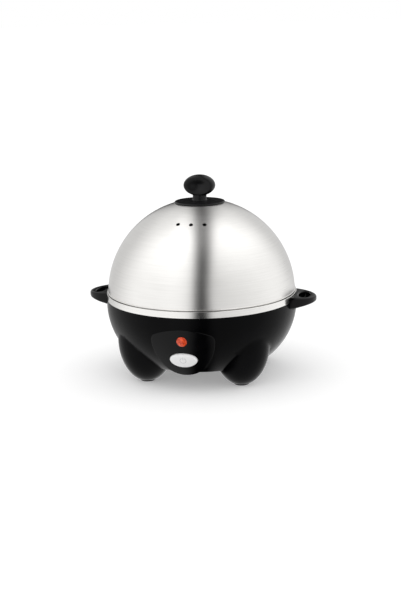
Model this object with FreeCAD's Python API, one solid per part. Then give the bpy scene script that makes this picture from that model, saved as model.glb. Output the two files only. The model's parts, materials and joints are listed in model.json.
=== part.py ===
import FreeCAD, Part
import math
import os

# Counter-top steam egg cooker: steel dome lid, egg tray, heated water pan and a
# black bowl-shaped base on four egg-shaped legs.
# Millimetres. Origin on the table under the dome's axis, +Z up, control panel to -Y.

V = FreeCAD.Vector
Z_UP = V(0, 0, 1)

# Base bowl
seam_z = 78.0               # height of the gap between lid and base
bowl_r = 88.5               # widest radius of the bowl
bowl_equator_drop = 10.0    # from the seam down to the widest level
bowl_curve_r = 64.5         # radius of the bowl's side curve
bowl_bottom_z = 15.4        # table to the underside of the belly
bowl_corner_r = 5.0         # round between side and underside
wall = 2.4                  # moulded wall of the base

# Legs, half an egg each, grown out of the bowl
leg_inset = 29.6            # from the bowl's widest radius in to each leg's own axis
leg_r = 26.2                # widest radius of a leg
leg_half_height = 40.1
leg_centre_z = 39.5
leg_angle_deg = 41.7        # from the side-to-side axis to each leg
leg_flat_z = 1.6            # the leg is cut flat here, above its rubber pad

# Rubber foot pads
pad_r = 7.0
pad_recess = 2.0
pad_fit = 0.1

# Steel band round the top of the base
band_inset = 0.3            # the band's side stands inside the bowl's widest radius
band_t = 0.6
band_h = 6.1
band_lip_r = 1.1            # rolled lower lip
band_fit = 0.2              # between the band and the base wall it is pressed over
seam_gap = 0.8              # open gap seen between the band and the lid's hem

# Ledge inside the base that carries the pan
ledge_reach = 10.5          # from the bowl's widest radius in to the ledge's edge
ledge_drop = 4.5            # from the seam down to the ledge's top
ledge_t = 2.0
rim_wall_t = 2.2

# Water pan, its gasket and the heater below it
gasket_t = 0.8
gasket_w = 4.5
gasket_inset = 0.5          # from the ledge's inner edge
pan_t = 1.0
pan_flange_fit = 0.3        # between the flange and the rim wall
pan_wall_fit = 1.5          # between the pan's side wall and the ledge
pan_depth = 13.1
pan_corner = 1.5            # slant between the floor and the wall
pan_taper = 2.0             # the wall leans in by this much at the floor
ring_in_r = 40.0
ring_out_r = 58.0
ring_t = 6.0
element_circle_r = 49.0
element_r = 3.3
element_fit = 0.1
element_gap_deg = 26.0      # open part of the ring, at the back
element_bend_r = 7.0
element_end_h = 4.0
blade_w = 6.3
blade_t = 0.8
blade_h = 8.0
pin_r = 1.0                 # pin between the heater tube and its blade
pin_len = 2.0

# Studs that draw the pan and the heat shield onto the ledge
stud_r = 2.0
stud_inset = 10.5           # from the pan's side wall in to the studs
stud_angles_deg = (0, 120, 240)
nut_flats = 7.0
nut_h = 3.2
washer_r = 4.5
washer_t = 0.8
stud_end = 1.0              # stud past its last nut
earth_angle_deg = 120       # the stud that carries the earth lug
earth_tail = 9.0
earth_tail_w = 3.2

# Heat shield
shield_t = 0.8
shield_floor_drop = 15.0    # from the pan's underside to the shield's floor
shield_floor_inset = 6.5    # from the pan's side wall in to the floor's edge
shield_shoulder_rise = 14.0
shield_wall_gap = 0.8       # between the pan's wall and the shield's
shield_flange_w = 4.5       # flange under the ledge
shield_centre_hole_r = 14.0
shield_terminal_hole_r = 5.5

# Thermostat, thermal fuse and what holds them
thermostat_cap_r = 8.5
thermostat_body_r = 7.4
thermostat_body_h = 6.0
thermostat_top_gap = 0.1
thermostat_blade_x = 4.1
thermostat_blade_h = 4.8
bracket_t = 1.0
bracket_w = 11.0
bracket_hole_fit = 0.2
bracket_eye_w = 3.0         # metal round the thermostat
bracket_screw_circle_r = 42.5
bracket_end = 2.3           # metal past the screw's centre
fuse_r = 2.0
fuse_len = 11.0
fuse_lead_r = 0.6
fuse_lead_len = 5.0
fuse_drop = 3.6             # from the pan's underside to the fuse's axis
fuse_y = 33.0
fuse_fit = 0.1
clip_w = 8.0
clip_t = 1.2                # metal beside the fuse

# Lid
dome_inset = 1.2            # the dome's radius is smaller than the band's by this
dome_centre_drop = 2.3      # sphere centre below the seam
dome_t = 0.6
dome_flat_r = 19.0          # flat pressed into the top, under the knob's plate
hem_out = 0.6               # the lid's hem stands out from the sphere by this
hem_h = 0.7
skirt_fit = 0.8             # between the locating skirt and the rim wall
rest_gap = 0.3              # running gap under pieces that lift off
vent_r = 1.85
vent_inset = 38.0           # from the dome's radius in to the vents
vent_pitch_deg = 14.0
vent_middle_deg = 272.6     # the lid sits turned by a little on the base

# Knob
plate_r = 22.9
plate_edge_t = 1.5
plate_t = 1.7
plate_gap = 0.1             # between the plate and the dome
knob_seat_r = 6.8
knob_half_w = 14.6
knob_half_h = 9.7
knob_t = 13.0
knob_edge_round = 3.6
knob_rise = 24.9            # from the dome's flat to the top of the knob
dish_depth = 3.0
dish_wide_r = 21.0
dish_tall_r = 9.0
knob_gasket_r = 8.8
knob_screw_r = 2.0
knob_screw_hole_fit = 0.2
knob_screw_len = 12.0
knob_screw_head_r = 4.0
knob_screw_head_h = 2.2
knob_washer_r = 6.0

# Egg tray
tray_fit = 2.8              # between the tray and the lid's skirt
tray_t = 1.8
egg_hole_r = 17.5
egg_circle_r = 48.0
egg_count = 6               # round the one in the middle
collar_t = 1.6
collar_h = 5.4
steam_slot_r = 3.0
steam_slot_inset = 15.0     # from the tray's edge in to the steam slots
tab_inset = 7.0             # from the tray's edge in to the finger tabs
tab_t = 2.0
tab_w = 18.0
tab_h = 10.0
tab_hole_r = 2.6

# Control panel
panel_top_drop = 16.6       # from the seam down to the panel's top edge
panel_bottom_z = 16.2
panel_half_w = 28.7
panel_widest_z = 49.5
panel_shoulder_x = 25.0
panel_shoulder_drop = 21.5
panel_waist_x = 21.5
panel_waist_z = 29.0
panel_top_inset = 0.08      # the outer face, in from the bowl's widest radius, at its top,
panel_mid_inset = 4.6       # middle and bottom levels
panel_mid_z = 40.0
panel_low_inset = 15.9
panel_bed = 1.6             # depth that the panel is let into the bowl
panel_fit = 0.15
panel_t = 2.0
panel_back_inset = 26.0     # the same for the back of the chin that hangs below the belly
panel_edge_round = 0.5
panel_screw_x = 17.0
panel_screw_z = 28.5
panel_boss_r = 2.5

# Indicator lamp
lamp_z = 50.8
lens_head_r = 4.6
lens_crown_r = 9.5
lens_rim_h = 0.4
lens_stem_r = 3.9
lens_stem_len = 7.5
lens_fit = 0.1
lens_bore_r = 2.7
neon_r = 2.3
neon_len = 7.5
lamp_opening_r = 5.5

# Power button and its switch
button_z = 32.6
button_half_w = 12.4
button_half_h = 7.0
button_travel = 2.2
button_home_out = 0.2       # how far the cap still stands out of the panel when pressed home
button_crown_r = 45.0
button_edge_round = 0.9
button_slot = 0.35          # open gap round the cap
button_flange_w = 0.9
button_flange_t = 1.5
button_flange_gap = 0.5     # flange to the panel's back
button_stem_r = 3.0
stem_fit = 0.06
stem_len = 9.0
well_half_w = 16.0
well_half_h = 10.5
well_depth = 8.5            # panel face to the floor of the switch well
well_floor_t = 2.5
well_fit = 0.5
switch_w = 20.0
switch_h = 11.0
switch_len = 10.5
switch_flange_t = 1.3
switch_fit = 0.2
switch_blade_x = 5.5
switch_blade_w = 4.4
barb_out = 1.1
spring_wire_r = 0.3
spring_coil_r = 4.0
spring_turns = 4
spring_pocket = 3.0

# Carrying handles
handle_out = 19.1           # from the bowl's widest radius out to the tip
handle_half_w = 21.0
handle_centre_inset = 4.5   # from the bowl's widest radius in to the loop's centre
handle_top_drop = 1.0       # from the seam down to its top face
handle_root_t = 11.5
handle_tip_t = 4.6
handle_round = 1.8
handle_hole_round = 1.4
handle_hole_out = 3.0       # from the bowl's widest radius out to the finger hole
handle_hole_len = 9.8
handle_hole_half_w = 12.5
handle_root_out = 2.7       # from the bowl's widest radius out to the root's end
handle_wedge_drop = 2.0      # the root's underside rises by this out to its end
handle_root_drop = 13.0     # seam to the bottom of the root
handle_root_low_half_w = 15.5
handle_root_step = 0.25     # the root stands back from the loop's outline by this
handle_tip_drop = 2.0       # the top face slopes down to the tip
handle_seat_fit = 0.12
handle_screw_y = 13.5
handle_screw_drop = 8.8
handle_screw_len = 7.2
handle_screw_back = 6.0     # how far inside the rim each screw's hole starts
handle_screw_out = 4.5      # from the bowl's widest radius out to the end of a screw's hole
handle_screw_bite = 0.2     # each head's seat is let into the wall by at least this

# Bottom cover and its screws
cover_r = 52.0
cover_scallop_r = 26.0
cover_fit = 0.4
cover_screw_r = 46.0
cover_screw_len = 6.0
cover_boss_r = 3.6
cover_boss_h = 6.5
cover_web_t = 3.0
cover_web_reach = 2.6       # how far each web runs onto the floor round the opening
cover_slot_w = 2.0
cover_slot_len = 22.0
cover_slot_pitch = 5.0
cover_slot_count = 5

# Small screws, all of one kind
screw_r = 1.4
screw_head_r = 2.6
screw_head_h = 1.7
screw_len = 8.0
screw_pilot_fit = 0.05
screw_hole_fit = 0.3

# Cord gland and terminal block at the back
gland_z = 36.0
gland_body_r = 6.5
gland_fit = 0.15
gland_flange_r = 8.5
gland_flange_t = 2.6
gland_boss_r = 10.2
gland_boss_rise = 0.4       # the boss stands this far inside the wall at its lowest point
gland_thread_out = 1.2      # thread past the nut
gland_bore_r = 3.6
gland_nut_flats = 16.5
gland_nut_t = 3.0
block_w = 31.0
block_d = 9.0
block_h = 9.0
block_ear_t = 3.0
block_inset = 29.1          # from the bowl's widest radius in to the block's middle
block_post_h = 4.5
block_post_r = 2.6
block_post_x = 12.7
block_ways_x = (-6.5, 0.0, 6.5)
block_way_w = 5.8
block_way_r = 1.4
block_way_z = 4.6           # from the block's foot to the axis of its wire holes
block_screw_r = 1.1

# Internal wires
wire_r = 1.0
wire_lead_in = 5.0          # straight run into each terminal

# Levels and radii that follow from the sizes above
leg_angles_deg = (leg_angle_deg, 180 - leg_angle_deg, 180 + leg_angle_deg, 360 - leg_angle_deg)
leg_circle_r = bowl_r - leg_inset
equator_z = seam_z - bowl_equator_drop
bowl_curve_x = bowl_r - bowl_curve_r
band_r = bowl_r - band_inset
band_top_z = seam_z - 0.25 * seam_gap
band_low_z = band_top_z - band_h
rim_wall_r = band_r - band_t - band_fit
rim_in_r = rim_wall_r - rim_wall_t
ledge_in_r = bowl_r - ledge_reach
ledge_z = seam_z - ledge_drop
flange_z = ledge_z + gasket_t
flange_top_z = flange_z + pan_t
pan_flange_r = rim_in_r - pan_flange_fit
pan_wall_r = ledge_in_r - pan_wall_fit
stud_circle_r = pan_wall_r - stud_inset
pan_under_z = flange_top_z - pan_depth
ring_z = pan_under_z - ring_t
rest_z = flange_top_z + rest_gap
shield_floor_z = pan_under_z - shield_floor_drop
shield_floor_r = pan_wall_r - shield_floor_inset
shield_flange_r = ledge_in_r + shield_flange_w
dome_r = band_r - dome_inset
dome_z = seam_z - dome_centre_drop
leg_floor_z = leg_flat_z + pad_recess + wall
hem_z = band_top_z + seam_gap
dome_top_z = dome_z + math.sqrt(dome_r ** 2 - dome_flat_r ** 2)
skirt_r = rim_in_r - skirt_fit
vent_circle_r = dome_r - vent_inset
knob_top_z = dome_top_z + knob_rise
tray_r = skirt_r - dome_t - tray_fit
steam_slot_circle_r = tray_r - steam_slot_inset
tab_x = tray_r - tab_inset
panel_back_r = bowl_r - panel_back_inset
button_out = button_travel + button_home_out
handle_reach = bowl_r + handle_out
handle_centre_x = bowl_r - handle_centre_inset
handle_root_x = bowl_r + handle_root_out
handle_hole_x0 = bowl_r + handle_hole_out
handle_hole_x1 = handle_hole_x0 + handle_hole_len
handle_screw_end_x = bowl_r + handle_screw_out
block_y = bowl_r - block_inset


def polar(radius, angle_deg, z=0.0):
    """Point at a radius and an angle counted from +X towards +Y."""
    a = math.radians(angle_deg)
    return V(radius * math.cos(a), radius * math.sin(a), z)


def save(name, shape):
    """One sub-part goes to one file under its own name."""
    shape.exportStep("parts/" + name + ".step")


def line(a, b):
    return Part.LineSegment(a, b).toShape()


def arc(a, middle, b):
    return Part.Arc(a, middle, b).toShape()


def section(points):
    """Closed wire through (radius, height) points, in the XZ plane."""
    corners = [V(r, 0, z) for r, z in points]
    return Part.makePolygon(corners + corners[:1])


def turned(wire):
    """Solid of revolution about the dome's axis."""
    return Part.Face(wire).revolve(V(0, 0, 0), Z_UP, 360)


def cylinder(radius, length, start, axis=Z_UP):
    return Part.makeCylinder(radius, length, start, axis)


def ring(inner, outer, z0, z1):
    whole = cylinder(outer, z1 - z0, V(0, 0, z0))
    return whole.cut(cylinder(inner, z1 - z0, V(0, 0, z0)))


def box(x0, x1, y0, y1, z0, z1):
    return Part.makeBox(x1 - x0, y1 - y0, z1 - z0, V(x0, y0, z0))


def hexagon(flats, height, start, axis=Z_UP):
    """Hexagonal prism, flats apart by the given width."""
    corner_r = flats / math.sqrt(3)
    corners = [polar(corner_r, 60 * k) for k in range(7)]
    prism = Part.Face(Part.makePolygon(corners)).extrude(V(0, 0, height))
    prism.Placement = FreeCAD.Placement(start, FreeCAD.Rotation(Z_UP, axis))
    return prism


def oval(half_w, half_h, z0, z1):
    """Elliptic prism along Z, its long way along X."""
    curve = Part.Ellipse(V(half_w, 0, z0), V(0, half_h, z0), V(0, 0, z0))
    return Part.Face(Part.Wire(curve.toShape())).extrude(V(0, 0, z1 - z0))


def onto(shape, origin, normal):
    """Stands a shape made along Z on a point of the front, +Z along the normal, X kept."""
    across = normal.cross(V(1, 0, 0))
    matrix = FreeCAD.Matrix(
        1, across.x, normal.x, origin.x,
        0, across.y, normal.y, origin.y,
        0, across.z, normal.z, origin.z,
        0, 0, 0, 1)
    return shape.transformed(matrix)


def screw(head_at, axis, length=screw_len):
    """Pan-head screw: the axis points from the head's seat along the shank."""
    head = cylinder(screw_head_r, screw_head_h, head_at - axis * screw_head_h, axis)
    head = head.makeFillet(0.5 * screw_head_h, [head.Edges[2]])
    return head.fuse(cylinder(screw_r, length, head_at, axis)).removeSplitter()


def tube(points, radius):
    """Insulated wire: straight runs joined by tangent arcs, swept with a round section."""
    route = [V(*p) for p in points]
    edges = []
    start = route[0]
    for before, corner, after in zip(route, route[1:], route[2:]):
        into = (before - corner).normalize()
        out = (after - corner).normalize()
        half_turn = 0.5 * (math.pi - into.getAngle(out))
        shorter = min((before - corner).Length, (after - corner).Length)
        reach = 0.45 * shorter
        bend_r = reach / math.tan(half_turn)
        inward = (into + out).normalize()
        top = corner + inward * (bend_r / math.cos(half_turn) - bend_r)
        edges.append(line(start, corner + into * reach))
        edges.append(arc(corner + into * reach, top, corner + out * reach))
        start = corner + out * reach
    edges.append(line(start, route[-1]))
    heading = (route[1] - route[0]).normalize()
    end = Part.Wire(Part.Circle(route[0], heading, radius).toShape())
    return Part.Wire(edges).makePipeShell([end], True, False)


def bowl_solid(inset, top_z):
    """The bowl's outline turned solid, drawn in from the outside by the inset."""
    curve_r = bowl_curve_r - inset
    corner_r = bowl_corner_r - min(inset, 0.6 * bowl_corner_r)
    floor_z = bowl_bottom_z + inset
    rise = equator_z - floor_z - corner_r
    run = math.sqrt((curve_r - corner_r) ** 2 - rise ** 2)
    corner_x = bowl_curve_x + run
    slope = math.atan2(rise, run)
    turn = 0.5 * (slope + 0.5 * math.pi)

    def on_curve(angle):
        return V(bowl_curve_x + curve_r * math.cos(angle), 0, equator_z - curve_r * math.sin(angle))

    def on_corner(angle):
        return V(corner_x + corner_r * math.cos(angle), 0, floor_z + corner_r - corner_r * math.sin(angle))

    side_r = bowl_r - inset
    wire = Part.Wire([
        line(V(0, 0, floor_z), V(corner_x, 0, floor_z)),
        arc(V(corner_x, 0, floor_z), on_corner(turn), on_corner(slope)),
        arc(on_curve(slope), on_curve(0.5 * slope), on_curve(0)),
        line(V(side_r, 0, equator_z), V(side_r, 0, top_z)),
        line(V(side_r, 0, top_z), V(0, 0, top_z)),
        line(V(0, 0, top_z), V(0, 0, floor_z))])
    return turned(wire)


def leg_solids(inset):
    """Four upright egg shapes, drawn in by the inset."""
    tall = leg_half_height - inset
    wide = leg_r - inset
    shape = Part.Ellipse(V(0, 0, tall), V(wide, 0, 0), V(0, 0, 0))
    half = Part.ArcOfEllipse(shape, -math.pi, 0).toShape()
    if half.CenterOfMass.x < 0:
        half = Part.ArcOfEllipse(shape, 0, math.pi).toShape()
    axis = line(V(0, 0, -tall), V(0, 0, tall))
    egg = Part.Face(Part.Wire([half, axis])).revolve(V(0, 0, 0), Z_UP, 360)
    legs = []
    for angle in leg_angles_deg:
        leg = egg.copy()
        leg.translate(polar(leg_circle_r, angle, leg_centre_z))
        legs.append(leg)
    return legs


# The control panel's outer face is a curve turned about the dome's axis, and its
# outline is a shield seen from the front.
face_top = V(bowl_r - panel_top_inset, 0, seam_z - panel_top_drop)
face_mid = V(bowl_r - panel_mid_inset, 0, panel_mid_z)
face_low = V(bowl_r - panel_low_inset, 0, panel_bottom_z)
face_arc = Part.Arc(face_top, face_mid, face_low).toShape().Curve
face_centre = face_arc.Center
face_r = face_arc.Radius


def panel_point(z):
    """Point of the panel's face in the middle plane at a height, and its outward normal."""
    rise = z - face_centre.z
    x = face_centre.x + math.sqrt(face_r ** 2 - rise ** 2)
    normal = V(0, -(x - face_centre.x), rise).normalize()
    return V(0, -x, z), normal


def panel_round(inset):
    """Solid under the panel's face, drawn in by the inset."""
    reach = face_r - inset

    def on_face(z):
        return V(face_centre.x + math.sqrt(reach ** 2 - (z - face_centre.z) ** 2), 0, z)

    high = seam_z - 0.5 * panel_top_drop
    low = 0.5 * panel_bottom_z
    middle = 0.5 * (high + low)
    wire = Part.Wire([
        arc(on_face(high), on_face(middle), on_face(low)),
        line(on_face(low), V(0, 0, low)),
        line(V(0, 0, low), V(0, 0, high)),
        line(V(0, 0, high), on_face(high))])
    return turned(wire)


def shield_prism(grow):
    """Prism along Y of the panel's shield outline, grown outwards."""
    top = seam_z - panel_top_drop + grow
    shoulder_x = panel_shoulder_x + 0.5 * grow
    shoulder_z = seam_z - panel_shoulder_drop + grow
    side_x = panel_half_w + grow
    waist_x = panel_waist_x + grow
    waist_z = panel_waist_z
    low = panel_bottom_z - grow
    corner_x = side_x - 0.22 * (side_x - shoulder_x)
    corner_z = shoulder_z - 0.35 * (shoulder_z - panel_widest_z)
    side_mid_x = side_x - 0.24 * (side_x - waist_x)
    side_mid_z = 0.5 * (panel_widest_z + waist_z) + 0.5
    outline = [
        arc(V(-shoulder_x, 0, shoulder_z), V(0, 0, top), V(shoulder_x, 0, shoulder_z)),
        arc(V(shoulder_x, 0, shoulder_z), V(corner_x, 0, corner_z), V(side_x, 0, panel_widest_z)),
        arc(V(side_x, 0, panel_widest_z), V(side_mid_x, 0, side_mid_z), V(waist_x, 0, waist_z)),
        arc(V(waist_x, 0, waist_z), V(0, 0, low), V(-waist_x, 0, waist_z)),
        arc(V(-waist_x, 0, waist_z), V(-side_mid_x, 0, side_mid_z), V(-side_x, 0, panel_widest_z)),
        arc(V(-side_x, 0, panel_widest_z), V(-corner_x, 0, corner_z), V(-shoulder_x, 0, shoulder_z))]
    return Part.Face(Part.Wire(outline)).extrude(V(0, -1.2 * bowl_r, 0))


def on_panel_face(edge):
    """True for an edge that lies in the panel's outer face."""
    span = edge.LastParameter - edge.FirstParameter
    for k in range(5):
        at = edge.valueAt(edge.FirstParameter + 0.25 * k * span)
        reach = math.hypot(math.hypot(at.x, at.y) - face_centre.x, at.z - face_centre.z)
        if abs(reach - face_r) > 0.001:
            return False
    return True


lamp_at, lamp_out = panel_point(lamp_z)
button_at, button_axis = panel_point(button_z)


def cover_outline(grow, z0, z1):
    """Round plate with four bites out of it that clear the legs."""
    plate = cylinder(cover_r + grow, z1 - z0, V(0, 0, z0))
    for angle in leg_angles_deg:
        bite = cylinder(cover_scallop_r - grow, z1 - z0, polar(leg_circle_r, angle, z0))
        plate = plate.cut(bite)
    return plate


def screw_line(side, y):
    """Start point, inside the base, of a handle screw's axis, and the way it goes."""
    return V(side * (rim_wall_r - handle_screw_back), y, seam_z - handle_screw_drop), V(side, 0, 0)


def base_housing():
    """Bowl and legs in one moulding, with the ledge, bosses and openings it needs."""
    outside = bowl_solid(0, band_low_z)
    outside = outside.multiFuse(leg_solids(0))
    under_ledge_z = ledge_z - ledge_t
    inside = bowl_solid(wall, under_ledge_z)
    inside = inside.multiFuse(leg_solids(wall))
    inside = inside.cut(cylinder(2 * bowl_r, bowl_r, V(0, 0, under_ledge_z)))
    inside = inside.cut(cylinder(2 * bowl_r, leg_floor_z, V(0, 0, 0)))
    rim = cylinder(rim_wall_r, band_top_z - seam_gap - band_low_z, V(0, 0, band_low_z))
    housing = outside.fuse(rim).cut(inside)
    housing = housing.cut(cylinder(ledge_in_r, seam_z, V(0, 0, under_ledge_z - 1)))
    housing = housing.cut(cylinder(rim_in_r, seam_z, V(0, 0, ledge_z)))
    housing = housing.cut(cylinder(3 * leg_circle_r, 2 * leg_flat_z, V(0, 0, -leg_flat_z)))

    # the bed for the control panel: backed up inside, then let in from outside
    bed_inside = bowl_solid(panel_bed + wall, under_ledge_z)
    backing = shield_prism(wall).common(bowl_solid(0.5 * wall, under_ledge_z)).cut(bed_inside)
    well = onto(box(-well_half_w, well_half_w, -well_half_h, well_half_h,
                    -well_depth - well_floor_t, -panel_t), button_at, button_axis)
    well = well.common(bowl_solid(panel_bed, under_ledge_z))
    pads = []
    for side in (-1, 1):
        pad = cylinder(1.6 * panel_boss_r, 2 * wall + panel_bed,
                       V(side * panel_screw_x, panel_pad_y(), panel_screw_z), V(0, -1, 0))
        pads.append(pad.common(bowl_solid(panel_bed, under_ledge_z)))
    housing = housing.multiFuse([backing, well] + pads)
    recess = shield_prism(panel_fit).cut(bowl_solid(panel_bed, seam_z))
    housing = housing.cut(recess)
    pocket = oval(button_half_w + button_flange_w + well_fit, button_half_h + button_flange_w + well_fit,
                  -well_depth, 0)
    opening = box(-0.5 * switch_w - switch_fit, 0.5 * switch_w + switch_fit,
                  -0.5 * switch_h - switch_fit, 0.5 * switch_h + switch_fit,
                  -well_depth - 2 * well_floor_t - switch_h, 0)
    housing = housing.cut(onto(pocket, button_at, button_axis))
    housing = housing.cut(onto(opening, button_at, button_axis))
    housing = housing.cut(cylinder(lamp_opening_r, 3 * lens_stem_len, lamp_at, lamp_out * -1))
    for side in (-1, 1):
        start = V(side * panel_screw_x, 0, panel_screw_z)
        housing = housing.cut(cylinder(screw_r + screw_hole_fit, bowl_r, start, V(0, -1, 0)))
        housing = housing.cut(cylinder(screw_head_r + screw_hole_fit, -panel_pad_y(), start, V(0, -1, 0)))

    # bosses and webs for the bottom cover's screws, and the opening that it closes
    floor_top = bowl_bottom_z + wall
    housing = housing.cut(cover_outline(cover_fit, bowl_bottom_z - 1, floor_top))
    for quarter in range(4):
        at = polar(cover_screw_r, 90 * quarter, floor_top)
        boss = cylinder(cover_boss_r, cover_boss_h, at)
        web = box(cover_screw_r, cover_r + cover_fit + cover_web_reach, -0.5 * cover_web_t,
                  0.5 * cover_web_t, floor_top, floor_top + 0.6 * cover_boss_h)
        web.rotate(V(0, 0, 0), Z_UP, 90 * quarter)
        housing = housing.multiFuse([boss, web])
        housing = housing.cut(cylinder(screw_r + screw_pilot_fit, cover_boss_h, at))

    # posts under the terminal block, holes for the gland, handles and foot pads
    for side in (-1, 1):
        post = cylinder(block_post_r, block_post_h + 0.5 * wall,
                        V(side * block_post_x, block_y, floor_top - 0.5 * wall))
        housing = housing.fuse(post)
        housing = housing.cut(cylinder(screw_r + screw_pilot_fit, block_post_h + wall,
                                       V(side * block_post_x, block_y, floor_top - 0.4 * wall)))
        for y in (-handle_screw_y, handle_screw_y):
            start, way = screw_line(side, y)
            housing = housing.cut(cylinder(screw_r + screw_hole_fit, bowl_r, start, way))
            pocket_len = handle_head_seat_x() - abs(start.x)
            housing = housing.cut(cylinder(screw_head_r + screw_hole_fit, pocket_len, start, way))
    nut_seat = gland_nut_seat_y()
    gland_boss = cylinder(gland_boss_r, gland_seat_y() - nut_seat, V(0, nut_seat, gland_z), V(0, 1, 0))
    housing = housing.fuse(gland_boss)
    housing = housing.cut(cylinder(gland_body_r + gland_fit, bowl_r, V(0, block_y, gland_z), V(0, 1, 0)))
    for angle in leg_angles_deg:
        recess = cylinder(pad_r + pad_fit, pad_recess, polar(leg_circle_r, angle, leg_flat_z))
        housing = housing.cut(recess)
    return housing.removeSplitter()


def panel_pad_y():
    """Flat inner end of the pads that the panel's screws draw up to."""
    r = bowl_y(panel_screw_z - screw_head_r - screw_hole_fit, panel_bed + wall)
    return -math.sqrt(r ** 2 - (panel_screw_x + screw_head_r) ** 2)


def rim_band():
    """Thin steel ring: flat top flange, upright side and a rolled lower lip."""
    inner = band_r - band_t
    flange_in = rim_in_r
    lip = band_low_z + band_lip_r
    curl = 0.35 * band_lip_r
    top_round = V(band_r - 0.3 * band_t, 0, band_top_z - 0.3 * band_t)
    wire = Part.Wire([
        line(V(flange_in, 0, band_top_z), V(band_r - band_t, 0, band_top_z)),
        arc(V(band_r - band_t, 0, band_top_z), top_round, V(band_r, 0, band_top_z - band_t)),
        line(V(band_r, 0, band_top_z - band_t), V(band_r, 0, lip)),
        arc(V(band_r, 0, lip), V(band_r + 0.25 * curl, 0, lip - 0.5 * band_lip_r),
            V(band_r - curl, 0, band_low_z)),
        line(V(band_r - curl, 0, band_low_z), V(inner, 0, band_low_z)),
        line(V(inner, 0, band_low_z), V(inner, 0, band_top_z - band_t)),
        line(V(inner, 0, band_top_z - band_t), V(flange_in, 0, band_top_z - band_t)),
        line(V(flange_in, 0, band_top_z - band_t), V(flange_in, 0, band_top_z))])
    return turned(wire)


def pan_gasket():
    inner = ledge_in_r + gasket_inset
    return ring(inner, inner + gasket_w, ledge_z, flange_z)


def water_pan():
    """Shallow dish with an outward flange, pressed from sheet."""
    floor_r = pan_wall_r - pan_taper
    floor_top = pan_under_z + pan_t
    return turned(section([
        (0, pan_under_z), (floor_r - pan_corner, pan_under_z), (floor_r, pan_under_z + pan_corner),
        (pan_wall_r, flange_z), (pan_flange_r, flange_z), (pan_flange_r, flange_top_z),
        (pan_wall_r - pan_t, flange_top_z), (floor_r - pan_t, floor_top + pan_corner),
        (floor_r - pan_t - pan_corner, floor_top), (0, floor_top)]))


def heater_element():
    """Round tube bent to an open ring, both ends turned down at the back."""
    half = 0.5 * element_gap_deg
    turn = math.degrees(element_bend_r / element_circle_r)
    first = polar(element_circle_r, 90 + half + turn, ring_z)
    last = polar(element_circle_r, 90 - half - turn, ring_z)
    front = polar(element_circle_r, 270, ring_z)
    edges = []
    ends = []
    for at, side in ((first, 1), (last, -1)):
        angle = math.radians(90 + side * (half + turn))
        towards_gap = V(math.sin(angle), -math.cos(angle), 0) * side
        centre = at - Z_UP * element_bend_r
        low = centre + towards_gap * element_bend_r
        middle = centre + (towards_gap + Z_UP).normalize() * element_bend_r
        edges.append(arc(at, middle, low))
        edges.append(line(low, low - Z_UP * element_end_h))
        ends.append(low - Z_UP * element_end_h)
    edges.append(Part.Arc(first, front, last).toShape())
    path = Part.Wire(Part.__sortEdges__(edges))
    section_at = Part.Wire(Part.Circle(ends[0], Z_UP, element_r).toShape())
    return path.makePipeShell([section_at], True, False), ends


def heater_ring():
    """Cast ring under the pan, grooved for the heater tube, tapped for three screws."""
    body = ring(ring_in_r, ring_out_r, ring_z, pan_under_z)
    groove = Part.makeTorus(element_circle_r, element_r + element_fit, V(0, 0, ring_z))
    body = body.cut(groove)
    back = box(-ring_out_r * math.sin(math.radians(element_gap_deg)),
               ring_out_r * math.sin(math.radians(element_gap_deg)),
               element_circle_r - element_r - 1, ring_out_r + 1,
               ring_z - 1, ring_z + element_r + 1)
    body = body.cut(back)
    for at in bracket_screw_points():
        body = body.cut(cylinder(screw_r + screw_pilot_fit, 0.7 * ring_t, at))
    return body


def bracket_screw_points():
    return [V(-bracket_screw_circle_r, 0, ring_z),
            V(bracket_screw_circle_r, 0, ring_z),
            V(0, bracket_screw_circle_r, ring_z)]


def thermostat():
    """Snap-disc thermostat: cap against the pan, body through the bracket, two blades."""
    cap = cylinder(thermostat_cap_r, pan_under_z - thermostat_top_gap - ring_z, V(0, 0, ring_z))
    body = cylinder(thermostat_body_r, thermostat_body_h, V(0, 0, ring_z - thermostat_body_h))
    low = ring_z - thermostat_body_h
    whole = cap.fuse(body)
    for side in (-1, 1):
        x = side * thermostat_blade_x
        whole = whole.fuse(box(x - 0.5 * blade_t, x + 0.5 * blade_t, -0.5 * blade_w, 0.5 * blade_w,
                               low - thermostat_blade_h, low))
    return whole.removeSplitter()


def thermostat_bracket():
    """Spring-steel strip that holds the thermostat up to the pan."""
    half = bracket_screw_circle_r + bracket_end
    strip = box(-half, half, -0.5 * bracket_w, 0.5 * bracket_w, ring_z - bracket_t, ring_z)
    hole_r = thermostat_body_r + bracket_hole_fit
    eye = cylinder(hole_r + bracket_eye_w, bracket_t, V(0, 0, ring_z - bracket_t))
    strip = strip.fuse(eye).removeSplitter()
    strip = strip.cut(cylinder(hole_r, 2 * bracket_t, V(0, 0, ring_z - 1.5 * bracket_t)))
    for at in bracket_screw_points()[:2]:
        strip = strip.cut(cylinder(screw_r + screw_hole_fit, 2 * bracket_t, at - Z_UP * 1.5 * bracket_t))
    return strip


def fuse_clip():
    """Small saddle that clamps the thermal fuse under the pan."""
    axis_z = pan_under_z - fuse_drop
    block = box(-0.5 * clip_w, 0.5 * clip_w, fuse_y - fuse_r - clip_t, fuse_y + fuse_r + clip_t,
                ring_z - bracket_t, axis_z + fuse_r + bracket_t)
    foot = box(-0.5 * clip_w, 0.5 * clip_w, fuse_y, bracket_screw_circle_r + bracket_end,
               ring_z - bracket_t, ring_z)
    clip = block.fuse(foot).removeSplitter()
    clip = clip.cut(cylinder(fuse_r + fuse_fit, 2 * clip_w, V(-clip_w, fuse_y, axis_z), V(1, 0, 0)))
    at = bracket_screw_points()[2]
    return clip.cut(cylinder(screw_r + screw_hole_fit, 2 * bracket_t, at - Z_UP * 1.5 * bracket_t))


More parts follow.
